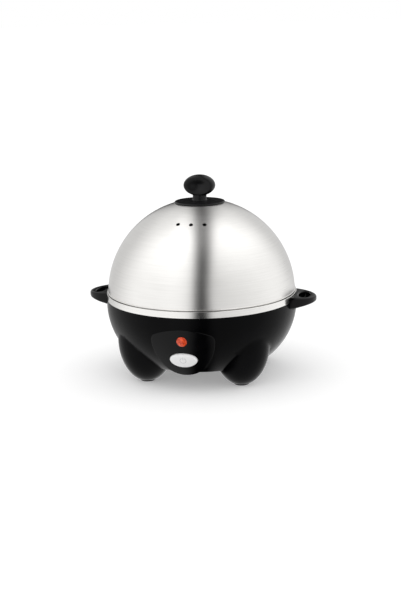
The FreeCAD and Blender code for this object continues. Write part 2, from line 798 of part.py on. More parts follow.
def fuse_end(side):
    return V(side * (0.5 * fuse_len + fuse_lead_len), fuse_y, pan_under_z - fuse_drop)


def thermal_fuse():
    body = cylinder(fuse_r, fuse_len, V(-0.5 * fuse_len, fuse_y, pan_under_z - fuse_drop), V(1, 0, 0))
    lead = cylinder(fuse_lead_r, fuse_len + 2 * fuse_lead_len, fuse_end(-1), V(1, 0, 0))
    return body.fuse(lead).removeSplitter()


def bracket_screws():
    heads = [at - Z_UP * bracket_t for at in bracket_screw_points()]
    return Part.makeCompound([screw(at, Z_UP, 0.6 * ring_t + bracket_t) for at in heads])


def heat_shield(ends):
    """Pressed steel dish under the heater, its flange drawn up under the ledge."""
    wall_r = pan_wall_r + shield_wall_gap
    flange_low = ledge_z - ledge_t - shield_t
    shoulder_z = shield_floor_z + shield_shoulder_rise
    lean = shield_t * 1.2
    shape = turned(section([
        (0, shield_floor_z), (shield_floor_r, shield_floor_z), (wall_r + shield_t, shoulder_z),
        (wall_r + shield_t, flange_low), (shield_flange_r, flange_low),
        (shield_flange_r, flange_low + shield_t), (wall_r, flange_low + shield_t),
        (wall_r, shoulder_z), (shield_floor_r - lean, shield_floor_z + shield_t),
        (0, shield_floor_z + shield_t)]))
    below = V(0, 0, shield_floor_z - 1)
    shape = shape.cut(cylinder(shield_centre_hole_r, 3, below))
    for end in ends:
        shape = shape.cut(cylinder(shield_terminal_hole_r, 3, V(end.x, end.y, below.z)))
    for angle in stud_angles_deg:
        shape = shape.cut(cylinder(stud_r + screw_hole_fit, 3, polar(stud_circle_r, angle, below.z)))
    return shape


def stud_low_z():
    return shield_floor_z - washer_t - 2 * nut_h - washer_t - stud_end


def pan_studs():
    length = pan_under_z - stud_low_z()
    return Part.makeCompound([cylinder(stud_r, length, polar(stud_circle_r, a, stud_low_z()))
                              for a in stud_angles_deg])


def nut_at(angle, top_z):
    at = polar(stud_circle_r, angle, top_z - nut_h)
    hole = cylinder(stud_r, nut_h, at)
    return hexagon(nut_flats, nut_h, at).cut(hole)


def shield_nuts():
    """One nut on each stud, and one more that holds the earth lug."""
    top = shield_floor_z - washer_t
    nuts = [nut_at(a, top) for a in stud_angles_deg]
    nuts.append(nut_at(earth_angle_deg, top - nut_h - washer_t))
    return Part.makeCompound(nuts)


def shield_washers():
    z = shield_floor_z - washer_t
    washers = []
    for a in stud_angles_deg:
        disc = cylinder(washer_r, washer_t, polar(stud_circle_r, a, z))
        washers.append(disc.cut(cylinder(stud_r + screw_hole_fit, washer_t, polar(stud_circle_r, a, z))))
    return Part.makeCompound(washers)


def earth_tail_end():
    """Where the earth wire meets the lug's tail."""
    at = polar(stud_circle_r, earth_angle_deg, shield_floor_z - washer_t - nut_h - 0.5 * washer_t)
    return at + V(earth_tail, 0, 0)


def earth_lug():
    low = shield_floor_z - washer_t - nut_h - washer_t
    at = polar(stud_circle_r, earth_angle_deg, low)
    eye = cylinder(washer_r, washer_t, at)
    tail = box(at.x, at.x + earth_tail, at.y - 0.5 * earth_tail_w,
               at.y + 0.5 * earth_tail_w, low, low + washer_t)
    return eye.fuse(tail).removeSplitter().cut(cylinder(stud_r + screw_hole_fit, washer_t, at))


def heater_terminals(ends):
    """Pin and flat blade at each end of the heater tube."""
    blades = []
    for end in ends:
        top = end.z - pin_len
        pin = cylinder(pin_r, pin_len, V(end.x, end.y, top))
        blade = box(end.x - 0.5 * blade_w, end.x + 0.5 * blade_w, end.y - 0.5 * blade_t,
                    end.y + 0.5 * blade_t, top - blade_h, top)
        blades.append(pin.fuse(blade).removeSplitter())
    return Part.makeCompound(blades)


def control_panel():
    """Curved shield with a rounded edge, hollow behind its chin."""
    bed = bowl_solid(panel_bed, seam_z).fuse(cylinder(panel_back_r, bowl_bottom_z + wall, V(0, 0, 0)))
    block = shield_prism(0).common(panel_round(0)).cut(bed)
    block = max(block.Solids, key=lambda s: s.Volume)
    block = block.makeFillet(panel_edge_round, [e for e in block.Edges if on_panel_face(e)])
    hollow = shield_prism(-panel_t).common(panel_round(panel_t))
    hollow = hollow.common(box(-bowl_r, bowl_r, -bowl_r, 0, 0, panel_mid_z))
    bosses = []
    for side in (-1, 1):
        post = cylinder(panel_boss_r, bowl_r, V(side * panel_screw_x, 0, panel_screw_z), V(0, -1, 0))
        bosses.append(post.common(block))
    panel = block.cut(hollow).multiFuse(bosses)
    for side in (-1, 1):
        pilot = cylinder(screw_r + screw_pilot_fit, -panel_pad_y() + screw_len - 1,
                         V(side * panel_screw_x, 0, panel_screw_z), V(0, -1, 0))
        panel = panel.cut(pilot)
    slot = oval(button_half_w + button_slot, button_half_h + button_slot, -2 * well_depth, button_out)
    panel = panel.cut(onto(slot, button_at, button_axis))
    room = oval(button_half_w + button_flange_w + well_fit, button_half_h + button_flange_w + well_fit,
                -2 * well_depth, -panel_t)
    panel = panel.cut(onto(room, button_at, button_axis))
    panel = panel.cut(cylinder(lens_stem_r + lens_fit, 4 * lens_stem_len,
                               lamp_at + lamp_out * lens_stem_len, lamp_out * -1))
    return max(panel.removeSplitter().Solids, key=lambda s: s.Volume)


def panel_screws():
    y = panel_pad_y()
    return Part.makeCompound([screw(V(side * panel_screw_x, y, panel_screw_z), V(0, -1, 0), screw_len - 2)
                              for side in (-1, 1)])


def indicator_lens():
    """Domed lens with a hollow stem pushed into the panel."""
    ball_z = -math.sqrt(lens_crown_r ** 2 - lens_head_r ** 2)
    head = Part.makeSphere(lens_crown_r, V(0, 0, ball_z))
    head = head.common(cylinder(lens_crown_r, lens_crown_r, V(0, 0, 0)))
    rim = cylinder(lens_head_r, lens_rim_h, V(0, 0, 0))
    head.translate(V(0, 0, lens_rim_h))
    stem = cylinder(lens_stem_r, lens_stem_len, V(0, 0, -lens_stem_len))
    bore = cylinder(lens_bore_r, lens_stem_len - 1, V(0, 0, -lens_stem_len))
    whole = head.multiFuse([rim, stem]).removeSplitter().cut(bore)
    return onto(whole, lamp_at + lamp_out * 0.1, lamp_out)


def neon_back():
    """Back end of the neon lamp, where its two leads come out."""
    return lamp_at - lamp_out * (neon_len + 1.4)


def neon_lamp():
    glass = cylinder(neon_r, neon_len, neon_back(), lamp_out)
    return glass.makeFillet(0.6 * neon_r, [glass.Edges[0]])


def power_button():
    """Oval cap, the flange that keeps it behind the panel, and its stem."""
    cap = oval(button_half_w, button_half_h, -panel_t - button_flange_t, button_out)
    crown = Part.makeSphere(button_crown_r, V(0, 0, button_out - button_crown_r))
    cap = cap.common(crown)
    rim = [e for e in cap.Edges if e.CenterOfMass.z > 0.5 * button_out]
    cap = cap.makeFillet(button_edge_round, rim)
    low = -panel_t - button_flange_gap - button_flange_t
    flange = oval(button_half_w + button_flange_w, button_half_h + button_flange_w,
                  low, low + button_flange_t)
    stem = cylinder(button_stem_r, stem_len, V(0, 0, low - stem_len))
    return onto(cap.multiFuse([flange, stem]).removeSplitter(), button_at, button_axis)


def switch_body():
    """Snap-in push switch: oval flange, box, two barbs and a bore for the stem."""
    flange = oval(button_half_w + 0.5 * button_flange_w, button_half_h + 0.5 * button_flange_w,
                  -well_depth, -well_depth + switch_flange_t)
    low = -well_depth - switch_len
    case = box(-0.5 * switch_w, 0.5 * switch_w, -0.5 * switch_h, 0.5 * switch_h, low, -well_depth)
    barbs = box(-0.5 * switch_w - barb_out, 0.5 * switch_w + barb_out, -2.5, 2.5,
                -well_depth - well_floor_t - 2.0, -well_depth - well_floor_t - 0.1)
    bore = cylinder(button_stem_r + stem_fit, well_depth, V(0, 0, low + 2.0))
    pocket = cylinder(spring_coil_r + 2 * spring_wire_r + 0.2, well_depth, V(0, 0, spring_low()))
    whole = case.multiFuse([flange, barbs]).removeSplitter().cut(bore).cut(pocket)
    return onto(whole, button_at, button_axis)


def spring_low():
    return -well_depth + switch_flange_t - spring_pocket


def switch_spring():
    """Coil round the button's stem, between the switch and the button's flange."""
    top = -panel_t - button_flange_gap - button_flange_t
    height = top - spring_low() - 2 * spring_wire_r
    quarters = 4 * spring_turns

    def on_coil(k):
        return polar(spring_coil_r, 90 * k, height * k / quarters)

    path = Part.Wire([arc(on_coil(k), on_coil(k + 0.5), on_coil(k + 1)) for k in range(quarters)])
    start = Part.Wire(Part.Circle(on_coil(0), V(0, 1, 0), spring_wire_r).toShape())
    coil = path.makePipeShell([start], True, False)
    coil.translate(V(0, 0, spring_low() + spring_wire_r))
    return onto(coil, button_at, button_axis)


def switch_blade_point(side):
    """Where a wire meets one of the switch's two blades."""
    return button_at - button_axis * (well_depth + switch_len + blade_h) + V(side * switch_blade_x, 0, 0)


def switch_terminals():
    blades = []
    top = -well_depth - switch_len
    for side in (-1, 1):
        x = side * switch_blade_x
        blade = box(x - 0.5 * switch_blade_w, x + 0.5 * switch_blade_w,
                    -0.5 * blade_t, 0.5 * blade_t, top - blade_h, top)
        blades.append(onto(blade, button_at, button_axis))
    return Part.makeCompound(blades)


def handle_plan():
    """Half oval of the handle seen from above, as a tall prism."""
    reach = handle_reach - handle_centre_x
    curve = Part.Ellipse(V(handle_centre_x + reach, 0, 0), V(handle_centre_x, handle_half_w, 0),
                         V(handle_centre_x, 0, 0))
    return Part.Face(Part.Wire(curve.toShape())).extrude(V(0, 0, seam_z))


def finger_hole(grow):
    """Upright oval hole for the fingers, grown outwards."""
    half_x = 0.5 * (handle_hole_x1 - handle_hole_x0)
    hole = oval(handle_hole_half_w + grow, half_x + grow, 0, seam_z)
    hole.rotate(V(0, 0, 0), Z_UP, 90)
    hole.translate(V(handle_hole_x0 + half_x, 0, 0))
    return hole


def handle(side):
    """Flat loop with a finger hole, on a root that wraps over the band."""
    top = seam_z - handle_top_drop
    tip_top = top - handle_tip_drop
    past_tip = handle_reach + 1
    side_view = Part.Face(Part.makePolygon([
        V(handle_centre_x, -bowl_r, top), V(past_tip, -bowl_r, tip_top),
        V(past_tip, -bowl_r, tip_top - handle_tip_t),
        V(handle_centre_x, -bowl_r, top - handle_root_t),
        V(handle_centre_x, -bowl_r, top)])).extrude(V(0, 2 * bowl_r, 0))
    loop = handle_plan().common(side_view)
    rims = [e for e in loop.Edges if e.BoundBox.XMax > handle_reach - 0.5 and e.BoundBox.YLength > 1]
    loop = loop.makeFillet(handle_round, rims).cut(finger_hole(0))
    rims = [e for e in loop.Edges if e.BoundBox.XMin > handle_hole_x0 - 0.5
            and e.BoundBox.XMax < handle_hole_x1 + 0.5 and e.BoundBox.YLength > 1]
    loop = loop.makeFillet(handle_hole_round, rims)

    # the root below the loop, as wide as the loop and narrower at its foot
    back_x = bowl_r - wall
    root_top = top - handle_round
    shoulder = seam_z - 0.5 * handle_root_drop
    low = seam_z - handle_root_drop
    half = handle_half_w - handle_root_step
    root = Part.Face(Part.makePolygon([
        V(back_x, -half, root_top), V(back_x, half, root_top), V(back_x, half, shoulder),
        V(back_x, handle_root_low_half_w, low), V(back_x, -handle_root_low_half_w, low),
        V(back_x, -half, shoulder), V(back_x, -half, root_top)]))
    root = root.extrude(V(handle_root_x - back_x, 0, 0))
    wedge = Part.Face(Part.makePolygon([
        V(bowl_r, -bowl_r, low), V(handle_root_x + 1, -bowl_r, low + handle_wedge_drop),
        V(handle_root_x + 1, -bowl_r, low - 1), V(bowl_r, -bowl_r, low - 1), V(bowl_r, -bowl_r, low)]))
    root = root.cut(wedge.extrude(V(0, 2 * bowl_r, 0)))
    plan = handle_plan()
    plan.translate(V(-handle_root_step, 0, 0))
    root = root.common(plan).cut(finger_hole(handle_hole_round + handle_root_step))
    body = loop.fuse(root).removeSplitter()
    body = body.cut(cylinder(bowl_r + handle_seat_fit, 2 * seam_z, V(0, 0, 0)))
    for y in (-handle_screw_y, handle_screw_y):
        start, way = screw_line(1, y)
        pilot_len = handle_screw_end_x - start.x
        body = body.cut(cylinder(screw_r + screw_pilot_fit, pilot_len, start, way))
    if side < 0:
        body.rotate(V(0, 0, 0), Z_UP, 180)
    return body


def handle_head_seat_x():
    """Flat end of the pocket let into the wall for a handle screw's head."""
    near_y = handle_screw_y - screw_head_r - screw_hole_fit
    return math.sqrt((bowl_r - wall) ** 2 - near_y ** 2) + handle_screw_bite


def handle_screws():
    """Screws from inside the base, their heads on the bowl's inner wall."""
    screws = []
    for side in (-1, 1):
        for y in (-handle_screw_y, handle_screw_y):
            start, way = screw_line(side, y)
            seat = V(side * handle_head_seat_x(), y, start.z)
            screws.append(screw(seat, way, handle_screw_len))
    return Part.makeCompound(screws)


def bottom_cover():
    """Scalloped plate flush with the belly, with vent slots and four screw holes."""
    plate = cover_outline(0, bowl_bottom_z, bowl_bottom_z + wall)
    for quarter in range(4):
        at = polar(cover_screw_r, 90 * quarter, bowl_bottom_z - 1)
        plate = plate.cut(cylinder(screw_r + screw_hole_fit, 2 * wall, at))
        plate = plate.cut(cylinder(screw_head_r + screw_hole_fit, 1 + screw_head_h - 0.2, at))
    first = -0.5 * (cover_slot_count - 1) * cover_slot_pitch
    for k in range(cover_slot_count):
        y = first + k * cover_slot_pitch
        plate = plate.cut(box(-0.5 * cover_slot_len, 0.5 * cover_slot_len, y - 0.5 * cover_slot_w,
                              y + 0.5 * cover_slot_w, bowl_bottom_z - 1, bowl_bottom_z + 2 * wall))
    return plate


def bottom_cover_screws():
    seat_z = bowl_bottom_z + screw_head_h - 0.2
    return Part.makeCompound([screw(polar(cover_screw_r, 90 * q, seat_z), Z_UP, cover_screw_len)
                              for q in range(4)])


def foot_pad(angle):
    """Rubber pad let into the flat end of a leg."""
    pad = cylinder(pad_r, leg_flat_z + pad_recess, polar(leg_circle_r, angle, 0))
    low_edge = [e for e in pad.Edges if e.BoundBox.ZMax < 0.1]
    return pad.makeFillet(0.5, low_edge)


def bowl_y(level, inset):
    """How far back the bowl's side reaches at a level, drawn in by the inset."""
    return bowl_curve_x + math.sqrt((bowl_curve_r - inset) ** 2 - (equator_z - level) ** 2)


def gland_seat_y():
    """Flat outer end of the boss that carries the gland."""
    return bowl_y(gland_z + gland_flange_r, 0)


def gland_nut_seat_y():
    """Flat inner end of the same boss, a little clear of the wall all round."""
    return bowl_y(gland_z - gland_boss_r, wall) - gland_boss_rise


def cord_gland():
    """Bush for the mains cord: flange outside, threaded body through the wall."""
    seat = gland_seat_y()
    back = V(0, 1, 0)
    length = seat - gland_nut_seat_y() + gland_nut_t + gland_thread_out
    body = cylinder(gland_body_r, length, V(0, seat - length, gland_z), back)
    flange = cylinder(gland_flange_r, gland_flange_t, V(0, seat, gland_z), back)
    outer = [e for e in flange.Edges if e.BoundBox.YMin > seat + 0.5 * gland_flange_t]
    flange = flange.makeFillet(0.4 * gland_flange_t, outer)
    whole = body.fuse(flange).removeSplitter()
    return whole.cut(cylinder(gland_bore_r, length + gland_flange_t, V(0, seat - length, gland_z), back))


def gland_nut():
    """Nut inside the wall that draws the gland tight."""
    start = V(0, gland_nut_seat_y() - gland_nut_t, gland_z)
    nut = hexagon(gland_nut_flats, gland_nut_t, start, V(0, 1, 0))
    return nut.cut(cylinder(gland_body_r, gland_nut_t, start, V(0, 1, 0)))


def block_low_z():
    return bowl_bottom_z + wall + block_post_h


def terminal_block():
    """Three-way screw block on two posts."""
    low = block_low_z()
    half_d = 0.5 * block_d
    body = box(-0.5 * block_w, 0.5 * block_w, block_y - half_d, block_y + half_d,
               low, low + block_ear_t)
    ways = []
    for x in block_ways_x:
        ways.append(box(x - 0.5 * block_way_w, x + 0.5 * block_way_w, block_y - half_d, block_y + half_d,
                        low, low + block_h))
    body = body.multiFuse(ways).removeSplitter()
    for x in block_ways_x:
        mouth = V(x, block_y - half_d, low + block_way_z)
        body = body.cut(cylinder(block_way_r, block_d, mouth, V(0, 1, 0)))
    for side in (-1, 1):
        body = body.cut(cylinder(screw_r + screw_hole_fit, block_h, V(side * block_post_x, block_y, low)))
    for x in block_ways_x:
        hole = cylinder(block_screw_r + screw_pilot_fit, block_h, V(x, block_y, low + block_way_z))
        body = body.cut(hole)
    return body


def block_screws():
    """Two screws hold the block down, and one clamps the wire in each way."""
    low = block_low_z()
    screws = [screw(V(side * block_post_x, block_y, low + block_ear_t), Z_UP * -1, screw_len - 2)
              for side in (-1, 1)]
    for x in block_ways_x:
        shank = cylinder(block_screw_r, block_h - block_way_z - block_way_r,
                         V(x, block_y, low + block_way_z + block_way_r))
        screws.append(shank)
    return Part.makeCompound(screws)


def way_mouth(k):
    """Where a wire enters one way of the terminal block, on its front side."""
    return V(block_ways_x[k], block_y - 0.5 * block_d + 2.0, block_low_z() + block_way_z)


def lid_dome():
    """Spun steel dome: three vents, a hemmed rim and a skirt that drops inside the base."""
    inner_r = dome_r - dome_t
    hem_top = hem_z + hem_h
    out_x = math.sqrt(dome_r ** 2 - (hem_top + 0.3 - dome_z) ** 2)
    in_x = math.sqrt(inner_r ** 2 - (hem_top + 0.6 - dome_z) ** 2)
    half = math.sqrt(0.5)
    flat_in_r = math.sqrt(inner_r ** 2 - (dome_top_z - dome_t - dome_z) ** 2)
    wire = Part.Wire([
        line(V(0, 0, dome_top_z), V(dome_flat_r, 0, dome_top_z)),
        arc(V(dome_flat_r, 0, dome_top_z), V(dome_r * half, 0, dome_z + dome_r * half),
            V(out_x, 0, hem_top + 0.3)),
        line(V(out_x, 0, hem_top + 0.3), V(dome_r + hem_out, 0, hem_top)),
        line(V(dome_r + hem_out, 0, hem_top), V(dome_r + hem_out, 0, hem_z)),
        line(V(dome_r + hem_out, 0, hem_z), V(skirt_r, 0, hem_z)),
        line(V(skirt_r, 0, hem_z), V(skirt_r, 0, rest_z)),
        line(V(skirt_r, 0, rest_z), V(skirt_r - dome_t, 0, rest_z)),
        line(V(skirt_r - dome_t, 0, rest_z), V(skirt_r - dome_t, 0, hem_z + dome_t)),
        line(V(skirt_r - dome_t, 0, hem_z + dome_t), V(in_x, 0, hem_z + dome_t)),
        line(V(in_x, 0, hem_z + dome_t), V(in_x, 0, hem_top + 0.6)),
        arc(V(in_x, 0, hem_top + 0.6), V(inner_r * half, 0, dome_z + inner_r * half),
            V(flat_in_r, 0, dome_top_z - dome_t)),
        line(V(flat_in_r, 0, dome_top_z - dome_t), V(0, 0, dome_top_z - dome_t)),
        line(V(0, 0, dome_top_z - dome_t), V(0, 0, dome_top_z))])
    dome = turned(wire)
    dome = dome.cut(cylinder(knob_screw_r + knob_screw_hole_fit, dome_r, V(0, 0, dome_z + 0.5 * dome_r)))
    vent_z = dome_z + math.sqrt(dome_r ** 2 - vent_circle_r ** 2)
    for k in (-1, 0, 1):
        at = polar(vent_circle_r, vent_middle_deg + k * vent_pitch_deg, vent_z)
        out = (at - V(0, 0, dome_z)).normalize()
        dome = dome.cut(cylinder(vent_r, 6 * dome_t, at - out * 3 * dome_t, out))
    return dome


def knob_gasket():
    """Silicone washer between the dome's flat and the knob's plate."""
    return ring(knob_screw_r + knob_screw_hole_fit, knob_gasket_r, dome_top_z, dome_top_z + gasket_t)


def knob_seat_z():
    """Top of the plate, where the knob stands."""
    return dome_top_z + plate_t


def knob_plate():
    """Round plate that sits on the dome's flat, with a hollow for the gasket."""
    def on_ball(radius, x):
        return V(x, 0, dome_z + math.sqrt(radius ** 2 - x ** 2))

    hole = knob_screw_r + knob_screw_hole_fit
    low = dome_top_z + plate_gap
    top = knob_seat_z()
    under = dome_r + plate_gap
    turn_r = math.sqrt(under ** 2 - (low - dome_z) ** 2)
    edge_low = on_ball(under, plate_r)
    edge_mid = on_ball(dome_r + 0.6 * plate_edge_t, plate_r + 0.2 * plate_edge_t)
    edge_top = on_ball(dome_r + plate_edge_t, plate_r - 0.5 * plate_edge_t)
    slope_x = 0.6 * plate_r
    slope_mid = V(slope_x, 0, 0.6 * top + 0.4 * edge_top.z)
    wire = Part.Wire([
        line(V(hole, 0, low), V(hole, 0, top)),
        line(V(hole, 0, top), V(knob_seat_r, 0, top)),
        arc(V(knob_seat_r, 0, top), slope_mid, edge_top),
        arc(edge_top, edge_mid, edge_low),
        arc(edge_low, on_ball(under, 0.5 * (plate_r + turn_r)), V(turn_r, 0, low)),
        line(V(turn_r, 0, low), V(hole, 0, low))])
    plate = turned(wire)
    hollow = cylinder(knob_gasket_r + 2 * plate_gap, gasket_t, V(0, 0, dome_top_z))
    return plate.cut(hollow)


def knob_grip():
    """Oval paddle with a thumb dish on both faces, on a short round neck."""
    middle_z = knob_top_z - knob_half_h
    paddle = oval(knob_half_w, knob_half_h, -0.5 * knob_t, 0.5 * knob_t)
    paddle = paddle.makeFillet(knob_edge_round, [e for e in paddle.Edges if e.Closed])
    paddle.rotate(V(0, 0, 0), V(1, 0, 0), 90)
    paddle.translate(V(0, 0, middle_z))
    neck = cylinder(knob_seat_r, middle_z - knob_seat_z(), V(0, 0, knob_seat_z()))
    foot_edge = [e for e in neck.Edges if e.BoundBox.ZMax < knob_seat_z() + 0.1]
    neck = neck.makeFillet(0.4, foot_edge)
    inner = dish_wide_r - dish_tall_r
    dish = turned(Part.Wire([
        line(V(0, 0, -dish_tall_r), V(inner, 0, -dish_tall_r)),
        arc(V(inner, 0, -dish_tall_r), V(dish_wide_r, 0, 0), V(inner, 0, dish_tall_r)),
        line(V(inner, 0, dish_tall_r), V(0, 0, dish_tall_r)),
        line(V(0, 0, dish_tall_r), V(0, 0, -dish_tall_r))]))
    for side in (-1, 1):
        hollow = dish.copy()
        hollow.translate(V(0, side * (0.5 * knob_t + dish_wide_r - dish_depth), middle_z))
        paddle = paddle.cut(hollow)
    grip = paddle.fuse(neck)
    pilot_r = knob_screw_r + screw_pilot_fit
    return grip.cut(cylinder(pilot_r, knob_screw_len, V(0, 0, knob_seat_z() - 1)))


def knob_washer_z():
    return dome_top_z - dome_t - washer_t


def knob_washer():
    low = knob_washer_z()
    return ring(knob_screw_r + knob_screw_hole_fit, knob_washer_r, low, low + washer_t)


def knob_screw():
    """Screw from inside the dome, up through the plate into the knob."""
    under = knob_washer_z()
    head = cylinder(knob_screw_head_r, knob_screw_head_h, V(0, 0, under - knob_screw_head_h))
    head = head.makeFillet(0.4 * knob_screw_head_h, [head.Edges[2]])
    shank = cylinder(knob_screw_r, knob_screw_len, V(0, 0, under))
    return head.fuse(shank).removeSplitter()


def egg_tray():
    """Flat tray with a collared hole for each egg, steam slots and two finger tabs."""
    top = rest_z + tray_t
    body = cylinder(tray_r, tray_t, V(0, 0, rest_z))
    edges = [e for e in body.Edges if e.Closed]
    body = body.makeFillet(0.4 * tray_t, edges)
    seats = [V(0, 0, top - tray_t - collar_h)]
    for k in range(egg_count):
        seats.append(polar(egg_circle_r, 360 * k / egg_count, top - tray_t - collar_h))
    collars = [cylinder(egg_hole_r + collar_t, collar_h + 0.5 * tray_t, at) for at in seats]
    body = body.multiFuse(collars)
    for at in seats:
        body = body.cut(cylinder(egg_hole_r, 2 * (collar_h + tray_t), at))
    for k in range(egg_count):
        at = polar(steam_slot_circle_r, 360 * (k + 0.5) / egg_count, rest_z - 1)
        body = body.cut(cylinder(steam_slot_r, 2 * tray_t, at))
    for side in (-1, 1):
        tab = box(tab_x - 0.5 * tab_t, tab_x + 0.5 * tab_t, -0.5 * tab_w, 0.5 * tab_w,
                  rest_z + 0.5 * tray_t, top + tab_h)
        upright = [e for e in tab.Edges if e.BoundBox.ZMin > top + tab_h - 0.1 and e.BoundBox.YLength < 0.1]
        tab = tab.makeFillet(0.4 * tab_w, upright)
        hole = cylinder(tab_hole_r, 2 * tab_t, V(tab_x - tab_t, 0, top + 0.55 * tab_h), V(1, 0, 0))
        tab = tab.cut(hole)
        if side < 0:
            tab.rotate(V(0, 0, 0), Z_UP, 180)
        body = body.fuse(tab)
    return body.removeSplitter()


def wires(ends):
    """Insulated leads on their real terminals, kept below the heat shield."""
    live, neutral = switch_blade_point(-1), switch_blade_point(1)
    left_end, right_end = sorted(ends, key=lambda e: e.x)
    blade_drop = pin_len + blade_h
    left = left_end - Z_UP * blade_drop
    right = right_end - Z_UP * blade_drop
    blade_z = ring_z - thermostat_body_h - thermostat_blade_h
    low = bowl_bottom_z + wall + cover_boss_h + 4.5
    earth, feed, back = way_mouth(0), way_mouth(1), way_mouth(2)
    lug = earth_tail_end()
    lead_in = Z_UP * wire_lead_in
    live_in = live - button_axis * wire_lead_in
    neutral_in = neutral - button_axis * wire_lead_in
    snap_left = V(-thermostat_blade_x, 0, blade_z)
    snap_right = V(thermostat_blade_x, 0, blade_z)
    routes = {
        "wire_feed": [feed, feed - V(0, 9, 0), V(-12, 32, low), V(-18, 10, low), V(-17, -14, low),
                      V(-12, -34, low + 4), live_in, live],
        "wire_switched": [neutral, neutral_in, V(9, -36, low + 4), V(11, -18, low),
                          snap_right - lead_in * 1.8 - V(0, 5, 0), snap_right - lead_in, snap_right],
        "wire_heater": [snap_left, snap_left - lead_in, V(-8, 14, low + 4), V(-11, 31, low + 3),
                        left - lead_in, left],
        "wire_return": [back, back - V(0, 7, 0), right - lead_in - V(0, 3, 1), right - lead_in * 0.5,
                        right],
        "wire_earth": [earth, earth + V(-1, -5.5, 0.5), V(lug.x + 7.5, lug.y - 5, low + 5),
                       lug + V(6, 0, 0), lug],
    }
    return {name: tube(points, wire_r) for name, points in routes.items()}


def lamp_leads():
    """Two thin leads from the neon lamp down to the switch's blades."""
    leads = []
    for side in (-1, 1):
        start = neon_back() + V(side * 1.2, 0, 0)
        out = start - lamp_out * 2.5
        end = switch_blade_point(side) + button_axis * 3.0 + V(side * 2.6, 0, 0)
        leads.append(tube([start, out, V(end.x + side * 3, out.y + 4, 0.3 * out.z + 0.7 * end.z),
                           end + V(side * 2, 0, 1.5), end], 0.5))
    return Part.makeCompound(leads)


os.makedirs("parts", exist_ok=True)
element, element_ends = heater_element()
save("base_housing", base_housing())
save("rim_band", rim_band())
save("pan_gasket", pan_gasket())
save("water_pan", water_pan())
save("heater_ring", heater_ring())
save("heater_element", element)
save("heater_terminals", heater_terminals(element_ends))
save("thermostat", thermostat())
save("thermostat_bracket", thermostat_bracket())
save("fuse_clip", fuse_clip())
save("thermal_fuse", thermal_fuse())
save("bracket_screws", bracket_screws())
save("heat_shield", heat_shield(element_ends))
save("pan_studs", pan_studs())
save("shield_washers", shield_washers())
save("shield_nuts", shield_nuts())
save("earth_lug", earth_lug())
save("control_panel", control_panel())
save("panel_screws", panel_screws())
save("indicator_lens", indicator_lens())
save("neon_lamp", neon_lamp())
save("lamp_leads", lamp_leads())
save("power_button", power_button())
save("switch_body", switch_body())
save("switch_terminals", switch_terminals())
save("switch_spring", switch_spring())
save("handle_right", handle(1))
save("handle_left", handle(-1))
save("handle_screws", handle_screws())
save("bottom_cover", bottom_cover())
save("bottom_cover_screws", bottom_cover_screws())
for name, angle in zip(("rear_right", "rear_left", "front_left", "front_right"), leg_angles_deg):
    save("foot_pad_" + name, foot_pad(angle))
save("cord_gland", cord_gland())
save("gland_nut", gland_nut())
save("terminal_block", terminal_block())
save("block_screws", block_screws())
for name, lead in wires(element_ends).items():
    save(name, lead)
save("lid_dome", lid_dome())
save("knob_gasket", knob_gasket())
save("knob_plate", knob_plate())
save("knob_grip", knob_grip())
save("knob_washer", knob_washer())
save("knob_screw", knob_screw())
save("egg_tray", egg_tray())
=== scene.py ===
import json
import math

import bmesh
import bpy
import numpy as np
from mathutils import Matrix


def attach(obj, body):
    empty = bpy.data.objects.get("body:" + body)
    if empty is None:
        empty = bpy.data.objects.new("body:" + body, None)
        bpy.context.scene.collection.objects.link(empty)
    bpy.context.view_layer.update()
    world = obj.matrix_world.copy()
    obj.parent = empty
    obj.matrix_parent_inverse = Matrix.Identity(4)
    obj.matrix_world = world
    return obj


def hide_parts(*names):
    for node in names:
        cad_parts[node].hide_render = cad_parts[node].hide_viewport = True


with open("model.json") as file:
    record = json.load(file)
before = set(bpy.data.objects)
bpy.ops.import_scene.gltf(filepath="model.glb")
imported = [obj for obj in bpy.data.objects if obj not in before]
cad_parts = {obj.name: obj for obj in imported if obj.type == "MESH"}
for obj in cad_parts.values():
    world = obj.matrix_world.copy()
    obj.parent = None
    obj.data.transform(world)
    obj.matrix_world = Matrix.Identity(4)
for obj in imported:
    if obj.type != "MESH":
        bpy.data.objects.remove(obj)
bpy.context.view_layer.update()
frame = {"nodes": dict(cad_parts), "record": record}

cad_node = frame["nodes"]
mm = 0.001

# Camera
# It stands a little over a metre in front of the cooker, turned towards the right
# handle and looking slightly down, as the photographer stood.
seam_z = 78.0 * mm
camera_distance = 1.150
camera_turn = math.radians(12.2)
camera_tilt = math.radians(13.07)
camera_roll = math.radians(-1.218)
aim_left = 1.24 * mm
aim_below_seam = 10.68 * mm

away = np.array([math.sin(camera_turn) * math.cos(camera_tilt),
                 -math.cos(camera_turn) * math.cos(camera_tilt),
                 math.sin(camera_tilt)])
right = np.array([math.cos(camera_turn), math.sin(camera_turn), 0.0])
up = np.cross(away, right)
seam_centre = np.array([0.0, 0.0, seam_z])
eye = seam_centre + camera_distance * away
aim = seam_centre - aim_left * right - aim_below_seam * up
back = (eye - aim) / np.linalg.norm(eye - aim)
side = np.cross(up, back) / np.linalg.norm(np.cross(up, back))
top = np.cross(back, side)
rolled_side = side * math.cos(camera_roll) + top * math.sin(camera_roll)
rolled_top = top * math.cos(camera_roll) - side * math.sin(camera_roll)

lens = bpy.data.cameras.new("camera")
lens.lens = 73.72
lens.sensor_width = 36.0
lens.clip_start, lens.clip_end = 0.05, 20.0
camera = bpy.data.objects.new("camera", lens)
turned = np.eye(4)
turned[:3, 0], turned[:3, 1], turned[:3, 2], turned[:3, 3] = rolled_side, rolled_top, back, eye
camera.matrix_world = turned.T.tolist()
bpy.context.scene.collection.objects.link(camera)
bpy.context.scene.camera = camera


